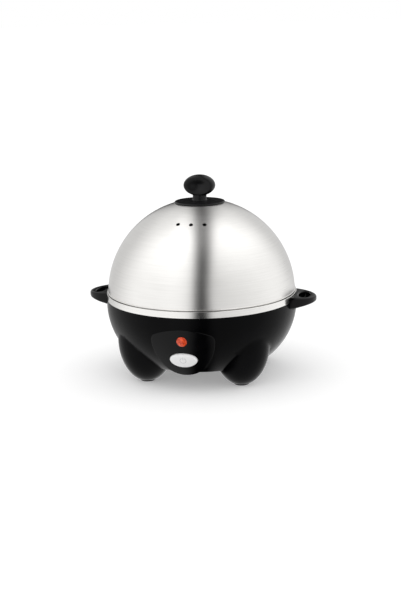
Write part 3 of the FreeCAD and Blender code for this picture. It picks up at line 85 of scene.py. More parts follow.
# Table and studio
# A white table that runs on to the horizon, in a white tent with a dark gap where the
# camera stands, and a wide soft box overhead. The table keeps the cooker's soft shadow.
class Field:
    """A node socket that takes part in sums: each operator on it adds a Math node."""

    def __init__(self, tree, socket=None):
        self.tree = tree
        self.socket = socket

    def node(self, kind, settings=None, inputs=None, output=0):
        """Adds a node, sets its settings, then gives its sockets values or links."""
        made = self.tree.nodes.new(kind)
        for key, value in (settings or {}).items():
            setattr(made, key, value)
        for key, value in (inputs or {}).items():
            if isinstance(value, Field):
                self.tree.links.new(value.socket, made.inputs[key])
            else:
                made.inputs[key].default_value = value
        return Field(self.tree, made.outputs[output] if made.outputs else None)

    def math(self, operation, *values, clamp=False):
        """Math node on these values, which may be fields or numbers."""
        return self.node("ShaderNodeMath", {"operation": operation, "use_clamp": clamp},
                         dict(enumerate(values)))

    def __add__(self, other):
        return self.math("ADD", self, other)

    def __sub__(self, other):
        return self.math("SUBTRACT", self, other)

    def __rsub__(self, other):
        return self.math("SUBTRACT", other, self)

    def __mul__(self, other):
        return self.math("MULTIPLY", self, other)

    __radd__ = __add__
    __rmul__ = __mul__

    def __truediv__(self, other):
        return self.math("DIVIDE", self, other)

    def clamped(self):
        """The same value held between 0 and 1."""
        return self.math("ADD", self, 0.0, clamp=True)

    def step(self, low, high):
        """0 below one value, 1 above the other, and a smooth ramp between them."""
        return self.node("ShaderNodeMapRange", {"interpolation_type": "SMOOTHSTEP"},
                         {"Value": self, "From Min": low, "From Max": high})

    def between(self, first, second):
        """Colour that goes from the first to the second as this value goes from 0 to 1."""
        colours = [c if isinstance(c, Field) else (*c, 1.0) for c in (first, second)]
        return self.node("ShaderNodeMix", {"data_type": "RGBA"}, {0: self, 6: colours[0], 7: colours[1]},
                         output=2)

    def place(self):
        """Object coordinates, in metres in the CAD frame."""
        return self.node("ShaderNodeTexCoord", output="Object")

    def parts(self):
        """The three numbers of this vector."""
        return [self.node("ShaderNodeSeparateXYZ", inputs={0: self}, output=k) for k in range(3)]

    def stretched(self, x, y, z):
        """This vector with its three ways scaled."""
        return self.node("ShaderNodeMapping", {"vector_type": "POINT"}, {"Vector": self, "Scale": (x, y, z)})

    def noise(self, scale, detail=2.0, roughness=0.5):
        """Cloudy value about 0.5, read at this vector."""
        return self.node("ShaderNodeTexNoise", {}, {"Vector": self, "Scale": scale, "Detail": detail,
                                                    "Roughness": roughness})

    def relief(self, height_mm, strength=1.0, normal=None):
        """Normal of a surface raised by this value, in millimetres."""
        inputs = {"Height": self, "Distance": height_mm * mm, "Strength": strength}
        if normal:
            inputs["Normal"] = normal
        return self.node("ShaderNodeBump", inputs=inputs)


def finish(name, dress):
    """Material whose shader takes the values and links that the dress function gives."""
    made = bpy.data.materials.new(name)
    made.use_nodes = True
    made.node_tree.nodes.clear()
    field = Field(made.node_tree)
    shader = field.node("ShaderNodeBsdfPrincipled", {}, dress(field))
    field.node("ShaderNodeOutputMaterial", {}, {"Surface": shader})
    return made


# What steel and gloss plastic mirror: two broad lit walls, by their angle round from the
# camera, and a dark gap between them that runs from the table up over the top.
left_wall = (-0.2, 0.6, 1.45, 2.4)
right_wall = (-0.4, 1.9, 1.8, 2.65)
wall_level, wall_rise, top_rise = 0.70, 0.46, 0.34
top_from, top_full = 0.3, 0.9
gap_at, gap_lean, gap_inner, gap_outer, gap_level = -0.015, 0.06, 0.05, 0.25, 0.0
lean_from, lean_full = 0.2, 0.95


def mirrored_level(field, heading):
    """Brightness of the tent in a direction, as a mirror shows it."""
    x, y, z = heading.parts()
    across = x * math.cos(camera_turn) + y * math.sin(camera_turn)
    towards = x * math.sin(camera_turn) - y * math.cos(camera_turn)
    turn = field.math("ARCTAN2", across, towards)
    walls = wall_level + top_rise * z.step(top_from, top_full)
    for angle, (start, full, last, end) in ((turn * -1.0, left_wall), (turn, right_wall)):
        walls = walls + wall_rise * (angle.step(start, full) - angle.step(last, end))
    beside = across - gap_at - gap_lean * z.step(lean_from, lean_full)
    gap = field.math("ABSOLUTE", beside).step(gap_inner, gap_outer)
    return gap_level + gap * walls


table_half = 30.0
mirrored_from = (0, 0, 0.05)
table_diffuse = 0.80
table_glow = 0.28
table_mesh = bpy.data.meshes.new("table")
corners = [(-1, -1), (1, -1), (1, 1), (-1, 1)]
table_mesh.from_pydata([(x * table_half, y * table_half, 0.0) for x, y in corners], [], [(0, 1, 2, 3)])
table_top = bpy.data.objects.new("table", table_mesh)
bpy.context.scene.collection.objects.link(table_top)

paper = bpy.data.materials.new("table_paper")
paper.use_nodes = True
paper.node_tree.nodes.clear()
field = Field(paper.node_tree)
seen = field.node("ShaderNodeLightPath", output="Is Camera Ray")
mirrored = field.node("ShaderNodeLightPath", output="Is Glossy Ray")
glow = field.node("ShaderNodeEmission", {}, {"Strength": seen * table_glow})
matt = field.node("ShaderNodeBsdfDiffuse", {}, {"Color": (table_diffuse,) * 3 + (1.0,)})
lit = field.node("ShaderNodeAddShader", {}, {0: glow, 1: matt})
from_cooker = field.node("ShaderNodeVectorMath", {"operation": "SUBTRACT"},
                         {0: field.place(), 1: mirrored_from})
heading = field.node("ShaderNodeVectorMath", {"operation": "NORMALIZE"}, {0: from_cooker})
image = field.node("ShaderNodeEmission", {}, {"Strength": mirrored_level(field, heading)})
field.node("ShaderNodeOutputMaterial", {}, {
    "Surface": field.node("ShaderNodeMixShader", {}, {0: mirrored, 1: lit, 2: image})})
table_mesh.materials.append(paper)

tent_level = 1.0
world = bpy.data.worlds.new("tent")
bpy.context.scene.world = world
world.use_nodes = True
world.node_tree.nodes.clear()
field = Field(world.node_tree)
seen = field.node("ShaderNodeLightPath", output="Is Camera Ray")
mirrored = field.node("ShaderNodeLightPath", output="Is Glossy Ray")
heading = field.node("ShaderNodeTexCoord", output="Generated")
level = mirrored * mirrored_level(field, heading) + (1.0 - mirrored) * (seen + (1.0 - seen) * tent_level)
shell = field.node("ShaderNodeBackground", {}, {"Color": (1.0, 1.0, 1.0, 1.0), "Strength": level})
field.node("ShaderNodeOutputWorld", {}, {"Surface": shell})

overhead = bpy.data.lights.new("overhead_box", "AREA")
overhead.shape = "SQUARE"
overhead.size, overhead.energy = 1.6, 2.0
overhead_box = bpy.data.objects.new("overhead_box", overhead)
overhead_box.location = (0.0, 0.0, 1.8)
bpy.context.scene.collection.objects.link(overhead_box)


# Base housing
# One black moulding: a round bowl with a leg at each corner, half an egg in shape. It
# carries every other piece. Satin plastic with a faint orange peel and a few dull hand marks.
body_of = {node: body for body, nodes in frame["record"]["behaviour"]["bodies"].items() for node in nodes}
plastic_black = (0.0008, 0.0008, 0.0010)
plastic_worn = (0.0022, 0.0022, 0.0026)


def satin_black(f):
    """Orange peel of soft noise, fine mould grain, and roughness that drifts with handling."""
    place = f.place()
    marks = place.noise(22.0, 4.0, 0.6).step(0.45, 0.75)
    peel = place.noise(260.0, 1.0)
    grain = place.noise(2600.0, 2.0)
    return {"Base Color": marks.between(plastic_black, plastic_worn),
            "Roughness": 0.17 + 0.09 * marks + 0.03 * grain,
            "Specular IOR Level": 0.06,
            "Normal": grain.relief(0.0012, normal=peel.relief(0.006))}


def merged_copy(node, material, sharp_deg=38.0):
    """Copy of a CAD node, its triangles joined and shaded smooth between sharp edges."""
    mesh = cad_node[node].data.copy()
    mesh.name = node + "_surface"
    mesh.attributes.remove(mesh.attributes["custom_normal"])
    mesh.materials.clear()
    mesh.materials.append(material)
    work = bmesh.new()
    work.from_mesh(mesh)
    bmesh.ops.remove_doubles(work, verts=work.verts, dist=0.0005 * mm)
    work.to_mesh(mesh)
    work.free()
    mesh.polygons.foreach_set("use_smooth", np.ones(len(mesh.polygons), bool))
    mesh.set_sharp_from_angle(angle=math.radians(sharp_deg))
    made = bpy.data.objects.new(node + "_moulding", mesh)
    bpy.context.scene.collection.objects.link(made)
    settle(made, node)
    return made


def settle(made, *nodes):
    """The piece stands for these CAD nodes: it goes on their body, and they are hidden."""
    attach(made, body_of[nodes[0]])
    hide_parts(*nodes)


body_plastic = finish("housing_satin_black", satin_black)
merged_copy("base_housing", body_plastic)


# Steel band round the top of the base
# A thin stainless ring pressed over the housing's rim: a flange on top, an upright side
# and a rolled lower lip that catches the light. Polished, with faint brushing round it.
band_top, band_low = 77.8, 71.7
band_r, band_t, band_flange_in = 88.2, 0.6, 85.2
steel_light = (0.86, 0.85, 0.83)
steel_dull = (0.74, 0.73, 0.71)


def rounded(corners, steps=6):
    """Profile through (radius, height, round) corners: each round is an arc tangent to its two sides."""
    path = []
    for k, (r, z, bend) in enumerate(corners):
        at = np.array([r, z])
        if bend == 0:
            path.append(at)
            continue
        before = np.array(corners[k - 1][:2]) - at
        after = np.array(corners[(k + 1) % len(corners)][:2]) - at
        before /= np.linalg.norm(before)
        after /= np.linalg.norm(after)
        half = 0.5 * math.acos(np.clip(before @ after, -1, 1))
        centre = at + (before + after) / np.linalg.norm(before + after) * bend / math.sin(half)
        start, end = [at + way * bend / math.tan(half) - centre for way in (before, after)]
        share = np.linspace(0, 1, steps)[:, None]
        sweep = math.acos(np.clip(start @ end / bend ** 2, -1, 1))
        spoke = (np.sin((1 - share) * sweep) * start + np.sin(share * sweep) * end) / math.sin(sweep)
        path.extend(centre + spoke)
    return np.array(path)


def carried_round(profile, steps=240, start=0.0):
    """Grid of a (radius, height) profile turned about the dome's axis, from a starting angle."""
    angle = np.linspace(0, 2 * np.pi, steps, endpoint=False)[:, None] + start
    r, z = np.asarray(profile).T
    return np.stack([np.cos(angle) * r, np.sin(angle) * r, np.ones_like(angle) * z], -1)


def quads_on(points, wrap_u=False, wrap_v=False, keep=None):
    """Points of a grid, and its cells as quads that face along the first way crossed with the second."""
    rows, columns = points.shape[:2]
    u, v = np.meshgrid(np.arange(rows - (not wrap_u)), np.arange(columns - (not wrap_v)), indexing="ij")
    u2, v2 = (u + 1) % rows, (v + 1) % columns
    quads = np.stack([u * columns + v, u2 * columns + v, u2 * columns + v2, u * columns + v2], -1)
    return points.reshape(-1, 3), quads[keep] if keep is not None else quads.reshape(-1, 4)


def piece(name, sheets, material, *nodes, sharp_deg=32.0):
    """Object made of sheets of quads in millimetres, welded where they meet."""
    points = np.concatenate([sheet[0] for sheet in sheets]) * mm
    starts = np.cumsum([0] + [len(sheet[0]) for sheet in sheets[:-1]])
    quads = np.concatenate([sheet[1] + start for sheet, start in zip(sheets, starts)])
    mesh = bpy.data.meshes.new(name)
    mesh.vertices.add(len(points))
    mesh.vertices.foreach_set("co", points.ravel())
    mesh.loops.add(quads.size)
    mesh.loops.foreach_set("vertex_index", quads.ravel().astype(np.int32))
    mesh.polygons.add(len(quads))
    mesh.polygons.foreach_set("loop_start", np.arange(0, quads.size, 4, dtype=np.int32))
    mesh.update(calc_edges=True)
    work = bmesh.new()
    work.from_mesh(mesh)
    bmesh.ops.remove_doubles(work, verts=work.verts, dist=0.001 * mm)
    loose = [vertex for vertex in work.verts if not vertex.link_faces]
    bmesh.ops.delete(work, geom=loose, context="VERTS")
    work.to_mesh(mesh)
    work.free()
    mesh.polygons.foreach_set("use_smooth", np.ones(len(mesh.polygons), bool))
    mesh.set_sharp_from_angle(angle=math.radians(sharp_deg))
    mesh.materials.append(material)
    made = bpy.data.objects.new(name, mesh)
    bpy.context.scene.collection.objects.link(made)
    settle(made, *nodes)
    return made


dome_radius = 87.0


def brushed(f, centre_z, light, dull, rough, lines_mm, streak):
    """Lines that run round the axis: noise drawn out along the turn, fine across it."""
    x, y, z = f.place().parts()
    out = f.math("SQRT", x * x + y * y)
    rise = z - centre_z * mm
    climb = f.math("ARCTAN2", rise, out) * dome_radius
    round_x, round_y = x / out, y / out
    lines = f.node("ShaderNodeCombineXYZ", inputs={0: climb / lines_mm, 1: round_x * 2.2, 2: round_y * 2.2})
    fine = lines.noise(1.0, 2.0, 0.6)
    bands = f.node("ShaderNodeCombineXYZ", inputs={0: climb / (lines_mm * 7.0), 1: round_x * 1.3,
                                                   2: round_y * 1.3}).noise(1.0, 2.0, 0.5)
    wiped = f.place().noise(16.0, 3.0, 0.55)
    shade = (0.75 * fine + 0.25 * bands) * streak + (1.0 - streak) * wiped
    return {"Base Color": shade.step(0.3, 0.7).between(dull, light),
            "Metallic": 1.0,
            "Roughness": rough + 0.10 * (fine - 0.5) + 0.06 * (wiped - 0.5),
            "Normal": fine.relief(0.004)}


def band_steel(f):
    """Polished steel: faint lines round the band that smear what it mirrors."""
    return {**brushed(f, 75.0, steel_light, steel_dull, 0.20, 0.20, 0.7),
            "Anisotropic": 0.55, "Anisotropic Rotation": 0.25}


band_profile = rounded([
    (band_r - band_t, band_low, 0), (band_r - 0.2, band_low, 0.18), (band_r + 0.1, band_low + 0.55, 0.5),
    (band_r, band_low + 1.1, 0.4), (band_r, band_top, 0.5), (band_flange_in, band_top, 0.1),
    (band_flange_in, band_top - band_t, 0), (band_r - band_t, band_top - band_t, 0)])
band_polish = finish("band_polished_steel", band_steel)
piece("steel_band", [quads_on(carried_round(band_profile, 360), True, True)], band_polish, "rim_band")


# Lid
# A dome spun from thin stainless sheet, brushed while it turned, with three steam vents,
# a folded hem and a skirt that drops inside the base. The vents are real holes.
dome_r, dome_t, dome_centre = dome_radius, 0.6, 75.7
flat_r = 19.0
lid_turn = math.radians(2.6)
hem_low, hem_high, hem_r = 78.6, 79.3, 87.6
hem_out_rise, hem_in_rise = 0.3, 0.6
skirt_out, skirt_low = 84.4, 75.6
vent_r, vent_circle, vent_pitch = 1.85, 49.0, 14
crown_hole_r = 2.2
vent_cells = 8
vent_rings = 5


def on_dome(radius, tilt, turn):
    """Points at a tilt from straight up and a turn round the axis, on a ball with its top pressed flat."""
    tilt, turn = np.broadcast_arrays(tilt, turn + lid_turn)
    flat = math.sqrt(dome_r ** 2 - flat_r ** 2) - (dome_r - radius)
    return np.stack([radius * np.sin(tilt) * np.cos(turn), radius * np.sin(tilt) * np.sin(turn),
                     dome_centre + np.minimum(radius * np.cos(tilt), flat)], -1)


out_x = math.sqrt(dome_r ** 2 - (hem_high + hem_out_rise - dome_centre) ** 2)
inner_r = dome_r - dome_t
in_x = math.sqrt(inner_r ** 2 - (hem_high + hem_in_rise - dome_centre) ** 2)
turns = np.radians(np.arange(360))
tilts = np.linspace(math.asin(crown_hole_r / dome_r), math.asin(out_x / dome_r), 156)
inner_tilts = tilts.copy()
inner_tilts[-1] = math.asin(in_x / inner_r)
keep = np.ones((360, len(tilts) - 1), bool)
vent_tilt = math.asin(vent_circle / dome_r)
first_row = int(np.abs(tilts - vent_tilt).argmin()) - vent_cells // 2
dome_sheets = []
for k in (-1, 0, 1):
    turn_deg = 270 + k * vent_pitch
    columns = np.arange(turn_deg - vent_cells // 2, turn_deg + vent_cells // 2 + 1)
    rows = np.arange(first_row, first_row + vent_cells + 1)
    keep[columns[0]:columns[-1], rows[0]:rows[-1]] = False
    # the window's edge as one loop of (turn, tilt), then rings drawn in to the hole's circle
    loop_turn = np.concatenate([columns[:-1], np.full(vent_cells, columns[-1]), columns[:0:-1],
                                np.full(vent_cells, columns[0])])
    loop_row = np.concatenate([np.full(vent_cells, rows[0]), rows[:-1], np.full(vent_cells, rows[-1]),
                               rows[:0:-1]])
    edge = np.stack([np.radians(loop_turn) - math.radians(turn_deg), tilts[loop_row] - vent_tilt], -1)
    reach = edge * [math.sin(vent_tilt) * dome_r, dome_r]
    circle = reach / np.linalg.norm(reach, axis=1)[:, None] * vent_r / [math.sin(vent_tilt) * dome_r, dome_r]
    share = np.linspace(0, 1, vent_rings)[:, None, None]
    spread = circle + (edge - circle) * share
    turned_to, tilted_to = spread[..., 0] + math.radians(turn_deg), spread[..., 1] + vent_tilt
    outer = on_dome(dome_r, tilted_to, turned_to)
    inner = on_dome(inner_r, tilted_to, turned_to)
    dome_sheets.append(quads_on(outer, wrap_v=True))
    dome_sheets.append(quads_on(inner[::-1], wrap_v=True))
    dome_sheets.append(quads_on(np.stack([inner[0], outer[0]]), wrap_v=True))
outer = on_dome(dome_r, tilts[None], turns[:, None])
inner = on_dome(inner_r, inner_tilts[None], turns[:, None])
dome_sheets.append(quads_on(outer[:, ::-1], wrap_u=True, keep=keep[:, ::-1]))
dome_sheets.append(quads_on(inner, wrap_u=True, keep=keep))
hem_profile = [(in_x, hem_high + hem_in_rise), (in_x, hem_low + dome_t),
               (skirt_out - dome_t, hem_low + dome_t), (skirt_out - dome_t, skirt_low),
               (skirt_out, skirt_low), (skirt_out, hem_low),
               (hem_r - 0.15, hem_low), (hem_r, hem_low + 0.15), (hem_r, hem_high - 0.2),
               (hem_r - 0.08, hem_high), (out_x, hem_high + hem_out_rise)]
dome_sheets.append(quads_on(carried_round(hem_profile, 360, lid_turn), wrap_u=True))
crown = np.stack([outer[:, 0], inner[:, 0]], 1)
dome_sheets.append(quads_on(crown, wrap_u=True))


def dome_steel(f):
    """Brushed steel: finer, duller lines than the band's."""
    return {**brushed(f, dome_centre, steel_light, steel_dull, 0.30, 0.22, 0.6),
            "Anisotropic": 0.8, "Anisotropic Rotation": 0.25}


dome_finish = finish("dome_brushed_steel", dome_steel)
piece("steel_dome", dome_sheets, dome_finish, "lid_dome")


# Knob
# A black plastic paddle with a thumb dish on both faces, on a short neck and a round
# plate that follows the dome, held by one screw from inside. Fine spark-eroded texture.
plate_r, seat_z, seat_r, plate_low = 22.9, 162.3, 6.8, 160.7
knob_half_w, knob_half_h, knob_half_t, knob_top = 14.6, 9.7, 6.5, 185.499
dish_share, dish_depth = 0.80, 2.6
plate_over_r, plate_rim_r, plate_under_r = 88.5, 87.9, 87.1
plate_shoulder, plate_widest, plate_fold, plate_inner = 22.15, 23.2, 21.0, 19.0


def through(a, b, c, steps):
    """Arc through three (radius, height) points: the circle's centre is equally far from all three."""
    a, b, c = map(np.array, (a, b, c))
    centre = np.linalg.solve(2 * np.array([b - a, c - a]), [b @ b - a @ a, c @ c - a @ a])
    start, middle, end = [math.atan2(*(p - centre)[::-1]) for p in (a, b, c)]
    way = math.copysign(1, math.sin(middle - start))
    sweep = way * ((way * (end - start)) % (2 * math.pi))
    angle = start + np.linspace(0, 1, steps) * sweep
    return centre + np.linalg.norm(a - centre) * np.stack([np.cos(angle), np.sin(angle)], -1)


def at_height(radius, r):
    """Height of a ball about the dome's centre, this far from the axis."""
    return dome_centre + math.sqrt(radius ** 2 - r ** 2)


def mould_texture(f):
    """Spark-eroded skin: two sizes of fine noise, shinier where fingers rub it."""
    place = f.place()
    fine = place.noise(2200.0, 2.0, 0.6)
    coarse = place.noise(700.0, 1.0)
    rubbed = place.noise(60.0, 3.0).step(0.4, 0.7)
    return {"Base Color": rubbed.between((0.005, 0.005, 0.0055), (0.009, 0.009, 0.0095)),
            "Roughness": 0.34 - 0.07 * rubbed + 0.05 * (fine - 0.5),
            "Specular IOR Level": 0.20,
            "Normal": fine.relief(0.006, normal=coarse.relief(0.010))}


knob_plastic = finish("knob_textured_black", mould_texture)
shoulder = (plate_shoulder, at_height(plate_over_r, plate_shoulder))
turned_under = (plate_r, at_height(plate_under_r, plate_r))
plate_top = through((seat_r, seat_z), (13.7, 161.93), shoulder, 24)
plate_lip = through(shoulder, (plate_widest, at_height(plate_rim_r, plate_widest)), turned_under, 8)
plate_under = through(turned_under, (plate_fold, at_height(plate_under_r, plate_fold)),
                      (plate_inner, plate_low), 8)
plate_profile = np.concatenate([plate_top, plate_lip[1:], plate_under[1:],
                                [(crown_hole_r, plate_low), (crown_hole_r, seat_z)]])[::-1]
piece("knob_plate_disc", [quads_on(carried_round(plate_profile, 200), True, True)], knob_plastic,
      "knob_plate")

# the paddle's face: a dish, a rounded land and a full round edge, as (share of the oval, depth)
land = np.linspace(0, 1, 26)
dished = knob_half_t - dish_depth * (0.5 + 0.5 * np.cos(np.pi * land)) ** 1.15
face = np.stack([land * dish_share, dished], -1)
bend = np.linspace(0, np.pi, 25)[1:]
edge = np.stack([dish_share + (1 - dish_share) * np.sin(bend), knob_half_t * np.cos(bend)], -1)
paddle_profile = np.concatenate([face, edge, (face * [1, -1])[::-1][1:]])
angle = np.linspace(0, 2 * np.pi, 160, endpoint=False)[:, None]
share, depth = paddle_profile.T
middle_z = knob_top - knob_half_h
paddle = np.stack([knob_half_w * share * np.cos(angle), -depth * np.ones_like(angle),
                   middle_z + knob_half_h * share * np.sin(angle)], -1)
neck_z = np.linspace(0, 1, 30)
neck_x = 6.5 - 0.15 * np.sin(np.pi * neck_z) + 16.5 * np.clip(neck_z - 0.45, 0, 1) ** 2
neck_y = 6.5 - 0.9 * neck_z
foot_flare = 0.3 * np.clip(1 - neck_z / 0.12, 0, 1) ** 2
neck_x += foot_flare
neck_y += foot_flare
neck_top = seat_z + 8.2
neck = np.stack([neck_x * np.cos(angle), neck_y * np.sin(angle),
                 np.ones_like(angle) * (seat_z + (neck_top - seat_z) * neck_z)], -1)
on_axis = [0, 0, 1]
caps = [np.stack([neck[:, -1], neck[:, -1] * on_axis], 1), np.stack([neck[:, 0] * on_axis, neck[:, 0]], 1)]
piece("knob_paddle", [quads_on(paddle, wrap_u=True), quads_on(neck, wrap_u=True)]
      + [quads_on(cap, wrap_u=True) for cap in caps], knob_plastic, "knob_grip", sharp_deg=50.0)


# Carrying handles
# Two black mouldings that wrap over the band, each with a finger hole, screwed on from
# inside the housing. Glossier than the housing, with a finer peel.
def handle_gloss(f):
    """Glossy black, a little lighter and duller where hands hold it."""
    place = f.place()
    worn = place.noise(70.0, 3.0).step(0.45, 0.7)
    peel = place.noise(420.0, 1.0)
    return {"Base Color": worn.between(plastic_black, plastic_worn),
            "Roughness": 0.14 + 0.10 * worn,
            "Specular IOR Level": 0.18,
            "Normal": peel.relief(0.004)}


handle_plastic = finish("handle_gloss_black", handle_gloss)
for node in ("handle_right", "handle_left"):
    merged_copy(node, handle_plastic)


# Control panel
# A black shield-shaped plate let into the bowl's front, with a slightly rounded edge. It is
# a little glossier than the bowl, holds the lamp and lets the button through.
def panel_gloss(f):
    """The housing's plastic polished further: a shallow peel, and wiping marks that dull it a little."""
    wiped = f.place().noise(30.0, 3.0, 0.6).step(0.4, 0.75)
    peel = f.place().noise(300.0, 1.0)
    return {"Base Color": wiped.between(plastic_black, plastic_worn),
            "Roughness": 0.13 + 0.08 * wiped,
            "Specular IOR Level": 0.16,
            "Normal": peel.relief(0.004)}


panel_plastic = finish("panel_gloss_black", panel_gloss)
merged_copy("control_panel", panel_plastic, sharp_deg=30.0)
panel_face = [(88.42, 61.4), (83.9, 40.0), (72.6, 16.2)]
face_points = through(*panel_face, 400)


def stand_on_panel(grid, height, out=0.0):
    """Flat grid about the origin stood on the panel's face at a height, its third way outwards."""
    k = int(np.abs(face_points[:, 1] - height).argmin())
    along = face_points[k - 1] - face_points[k + 1]
    along /= np.linalg.norm(along)
    normal = np.array([0.0, -along[1], -along[0]])
    if normal[1] > 0:
        normal = -normal
    upward = np.cross(normal, [1.0, 0.0, 0.0])
    spot = np.array([0.0, -np.interp(height, *face_points[::-1].T[::-1]), height])
    sideways = grid[..., :1] * [1.0, 0.0, 0.0]
    return spot + out * normal + sideways + grid[..., 1:2] * upward + grid[..., 2:] * normal


# Indicator lamp
# A domed orange-red lens with a cut back that breaks the light into facets, pushed into
# the panel in front of a small neon lamp.
lamp_height = 50.8
lens_head, lens_stem, lens_bore, lens_crown = 4.6, 3.9, 2.7, 9.5
lens_pocket, lens_end, lens_chamfer, lens_lip, lens_seat = -6.5, -7.5, 0.1, 0.4, 0.098
lens_r = lens_head * np.cos(np.linspace(0.06, np.pi / 2, 16))
lens_rise = np.sqrt(lens_crown ** 2 - lens_r ** 2) - math.sqrt(lens_crown ** 2 - lens_head ** 2)
lens_profile = np.concatenate([
    [(0, lens_pocket), (lens_bore, lens_pocket), (lens_bore, lens_end), (lens_stem, lens_end), (lens_stem, 0),
     (lens_head - lens_chamfer, 0), (lens_head, lens_chamfer), (lens_head, lens_lip)],
    np.stack([lens_r, lens_lip + lens_rise], -1)])


def lens_jewel(f):
    """Cells of two oranges under a clear skin, with painted shade: darker where a facet turns away from the
    light.
    """
    facets_and_painted_shade = f.node("ShaderNodeTexVoronoi", {"feature": "F1"}, {"Vector": f.place(), "Scale": 620.0},
                    output="Distance")
    glow = f.place().noise(330.0, 2.0).step(0.35, 0.65)
    # shade is painted facet shade (cells darker where a facet turns from the light) mixed with a cloudy tone;
    # the Base Color and the lens's faint painted glow both carry it
    shade = (facets_and_painted_shade.step(0.15, 0.75) * 0.7 + glow * 0.3).clamped()
    return {"Base Color": shade.between((0.80, 0.085, 0.012), (0.36, 0.020, 0.004)),
            "Roughness": 0.16 + 0.1 * glow,
            "Emission Color": shade.between((0.75, 0.08, 0.01), (0.25, 0.015, 0.003)),
            "Emission Strength": 0.22,
            "Normal": facets_and_painted_shade.relief(0.10)}


lens_finish = finish("lamp_orange_lens", lens_jewel)
lens_grid = stand_on_panel(carried_round(lens_profile, 72), lamp_height, lens_seat)
piece("lamp_lens", [quads_on(lens_grid, wrap_u=True)], lens_finish, "indicator_lens")


# Power button
# A white oval cap with a crowned face and a small engraved power mark, on a flange that
# stops behind the panel and a round stem that pushes the switch.
button_height = 32.6
button_w, button_h, button_out, button_crown = 12.4, 7.0, 2.4, 45.0
button_flange, button_stem_r = 0.9, 3.0
button_flange_top, button_flange_low, button_stem_low = -2.5, -4.0, -13.0
button_columns, button_round_from, button_round_fall = 144, 0.9, 0.8
button_round = 1 - button_round_from
share = np.concatenate([np.linspace(0, button_round_from, 24),
                        button_round_from + button_round * np.sin(np.linspace(0, np.pi / 2, 8))[1:]])
angle = np.linspace(0, 2 * np.pi, button_columns, endpoint=False)[:, None]
cap_x = button_w * share * np.cos(angle)
cap_y = button_h * share * np.sin(angle)
over_edge = np.clip(share - button_round_from, 0, button_round) / button_round
edge_fall = button_round_fall * (1 - np.sqrt(1 - over_edge ** 2))
crown_fall = button_crown - np.sqrt(button_crown ** 2 - cap_x ** 2 - cap_y ** 2)
cap_face = np.stack([cap_x, cap_y, button_out - crown_fall - edge_fall], -1)
flange_w, flange_h = button_w + button_flange, button_h + button_flange
steps = [(button_w, button_h, button_flange_top), (flange_w, flange_h, button_flange_top),
         (flange_w, flange_h, button_flange_low), (button_stem_r, button_stem_r, button_flange_low),
         (button_stem_r, button_stem_r, button_stem_low), (0.0, 0.0, button_stem_low)]
skirt = np.stack([np.stack([w * np.cos(angle[:, 0]), h * np.sin(angle[:, 0]), np.full(button_columns, z)], -1)
                  for w, h, z in steps], 1)
body_of_button = np.concatenate([cap_face, skirt], 1)[:, ::-1]
mark_r, mark_line, mark_stretch = 2.7, 0.42, 1.09
mark_gap, mark_gap_rise = (0.9, 1.1), (0.0, 0.6)
bar_middle, bar_end = 2.0, (1.45, 1.65)


def button_white(f):
    """White plastic with a grey ring, open at the top, and a bar: the usual sign for power."""
    x, y, z = f.place().parts()
    u = x * 1000.0
    v = (z * 1000.0 - button_height) * mark_stretch
    thin, thick = 0.3 * mark_line, 0.6 * mark_line
    from_ring = f.math("ABSOLUTE", f.math("SQRT", u * u + v * v) - mark_r)
    from_middle = f.math("ABSOLUTE", u)
    gap = (1.0 - from_middle.step(*mark_gap)) * v.step(*mark_gap_rise)
    ring = (1.0 - from_ring.step(thin, thick)) * (1.0 - gap)
    bar = (1.0 - from_middle.step(thin, thick)) \
        * (1.0 - f.math("ABSOLUTE", v - bar_middle).step(*bar_end))
    mark = (ring + bar).clamped()
    soft = f.place().noise(300.0, 2.0)
    return {"Base Color": mark.between((0.93, 0.93, 0.93), (0.50, 0.50, 0.52)),
            "Roughness": 0.30 + 0.08 * soft + 0.15 * mark,
            "Normal": (1.0 - mark).relief(0.05, normal=soft.relief(0.004))}


button_plastic = finish("button_white_plastic", button_white)
piece("power_button_cap", [quads_on(stand_on_panel(body_of_button, button_height), wrap_u=True)],
      button_plastic, "power_button", sharp_deg=40.0)


# Bottom cover, feet, gland and everything inside
# The pieces that show only from below, from behind or with the lid off keep their CAD
# surfaces, each with the finish of the stock it is made from.
def coat(material, *nodes):
    """Gives CAD nodes this material in place of their own."""
    for node in nodes:
        cad_node[node].material_slots[0].material = material


def moulded(colour, rough, grain_scale=1500.0):
    """Plastic or rubber: the colour drifts a little, and a fine grain breaks the gloss."""
    darker = tuple(0.78 * c for c in colour)

    def dress(f):
        place = f.place()
        drift = place.noise(45.0, 3.0).step(0.3, 0.7)
        grain = place.noise(grain_scale, 2.0)
        return {"Base Color": drift.between(colour, darker), "Roughness": rough + 0.12 * (grain - 0.5),
                "Normal": grain.relief(0.006)}
    return dress


def metal(colour, rough, streaks=(1.0, 1.0, 1.0), scale=900.0):
    """Bare metal: noise drawn out the way the stock was rolled, cast or plated."""
    darker = tuple(0.72 * c for c in colour)

    def dress(f):
        lines = f.place().stretched(*streaks).noise(scale, 3.0, 0.6)
        stain = f.place().noise(35.0, 3.0).step(0.35, 0.7)
        shade = (0.6 * lines + 0.4 * stain).clamped()
        return {"Base Color": shade.between(colour, darker), "Metallic": 1.0,
                "Roughness": rough + 0.14 * (lines - 0.5) + 0.06 * stain, "Normal": lines.relief(0.004)}
    return dress


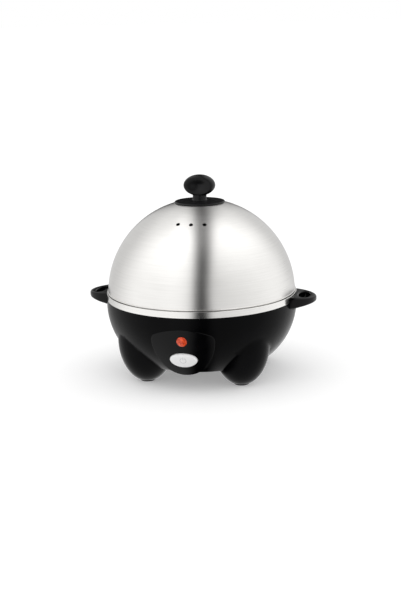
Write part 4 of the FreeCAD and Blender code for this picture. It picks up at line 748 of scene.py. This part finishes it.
coat(body_plastic, "bottom_cover")
coat(finish("black_rubber", moulded((0.006, 0.006, 0.006), 0.62)), "cord_gland", "foot_pad_rear_right",
     "foot_pad_rear_left", "foot_pad_front_left", "foot_pad_front_right")
coat(finish("zinc_plate", metal((0.66, 0.66, 0.64), 0.30)), "bottom_cover_screws", "panel_screws",
     "handle_screws", "block_screws", "bracket_screws", "pan_studs", "shield_washers", "shield_nuts",
     "knob_screw", "knob_washer")
coat(finish("spun_aluminium", metal((0.80, 0.80, 0.81), 0.32, (1.0, 1.0, 8.0), 400.0)), "water_pan")
coat(finish("cast_aluminium", metal((0.62, 0.62, 0.63), 0.48, scale=500.0)), "heater_ring")
coat(finish("rolled_steel", metal((0.60, 0.60, 0.59), 0.36, (0.1, 1.0, 1.0))), "heat_shield",
     "thermostat_bracket", "fuse_clip", "heater_element", "switch_spring")
coat(finish("brass", metal((0.78, 0.60, 0.30), 0.30)), "heater_terminals", "earth_lug", "switch_terminals")
coat(finish("grey_silicone", moulded((0.45, 0.45, 0.43), 0.50)), "pan_gasket", "knob_gasket")
coat(finish("tray_matt_black", moulded((0.022, 0.022, 0.023), 0.42, 900.0)), "egg_tray")
coat(finish("brown_phenolic", moulded((0.07, 0.045, 0.03), 0.38)), "thermostat", "gland_nut")
coat(finish("natural_nylon", moulded((0.74, 0.73, 0.68), 0.40)), "switch_body", "terminal_block",
     "thermal_fuse")
coat(finish("brown_insulation", moulded((0.16, 0.07, 0.03), 0.40)), "wire_feed", "wire_switched",
     "wire_heater")
coat(finish("blue_insulation", moulded((0.03, 0.09, 0.36), 0.40)), "wire_return", "lamp_leads")


def striped_insulation(f):
    """Green with a yellow stripe along each side."""
    x, y, z = f.place().parts()
    along = f.node("ShaderNodeCombineXYZ", inputs={0: x + y, 1: z, 2: 0.0})
    stripe = along.noise(240.0, 0.0).step(0.48, 0.52)
    return {"Base Color": stripe.between((0.10, 0.32, 0.04), (0.75, 0.62, 0.04)), "Roughness": 0.42}


def lamp_glass(f):
    """Clear glass, a little amber where the electrodes have warmed it."""
    warm = f.place().noise(350.0, 2.0).step(0.4, 0.6)
    return {"Base Color": warm.between((0.96, 0.90, 0.85), (0.90, 0.62, 0.40)),
            "Roughness": 0.05 + 0.05 * warm,
            "Transmission Weight": 0.85}


coat(finish("striped_insulation", striped_insulation), "wire_earth")
coat(finish("neon_glass", lamp_glass), "neon_lamp")

bpy.context.scene.view_settings.view_transform = "Standard"
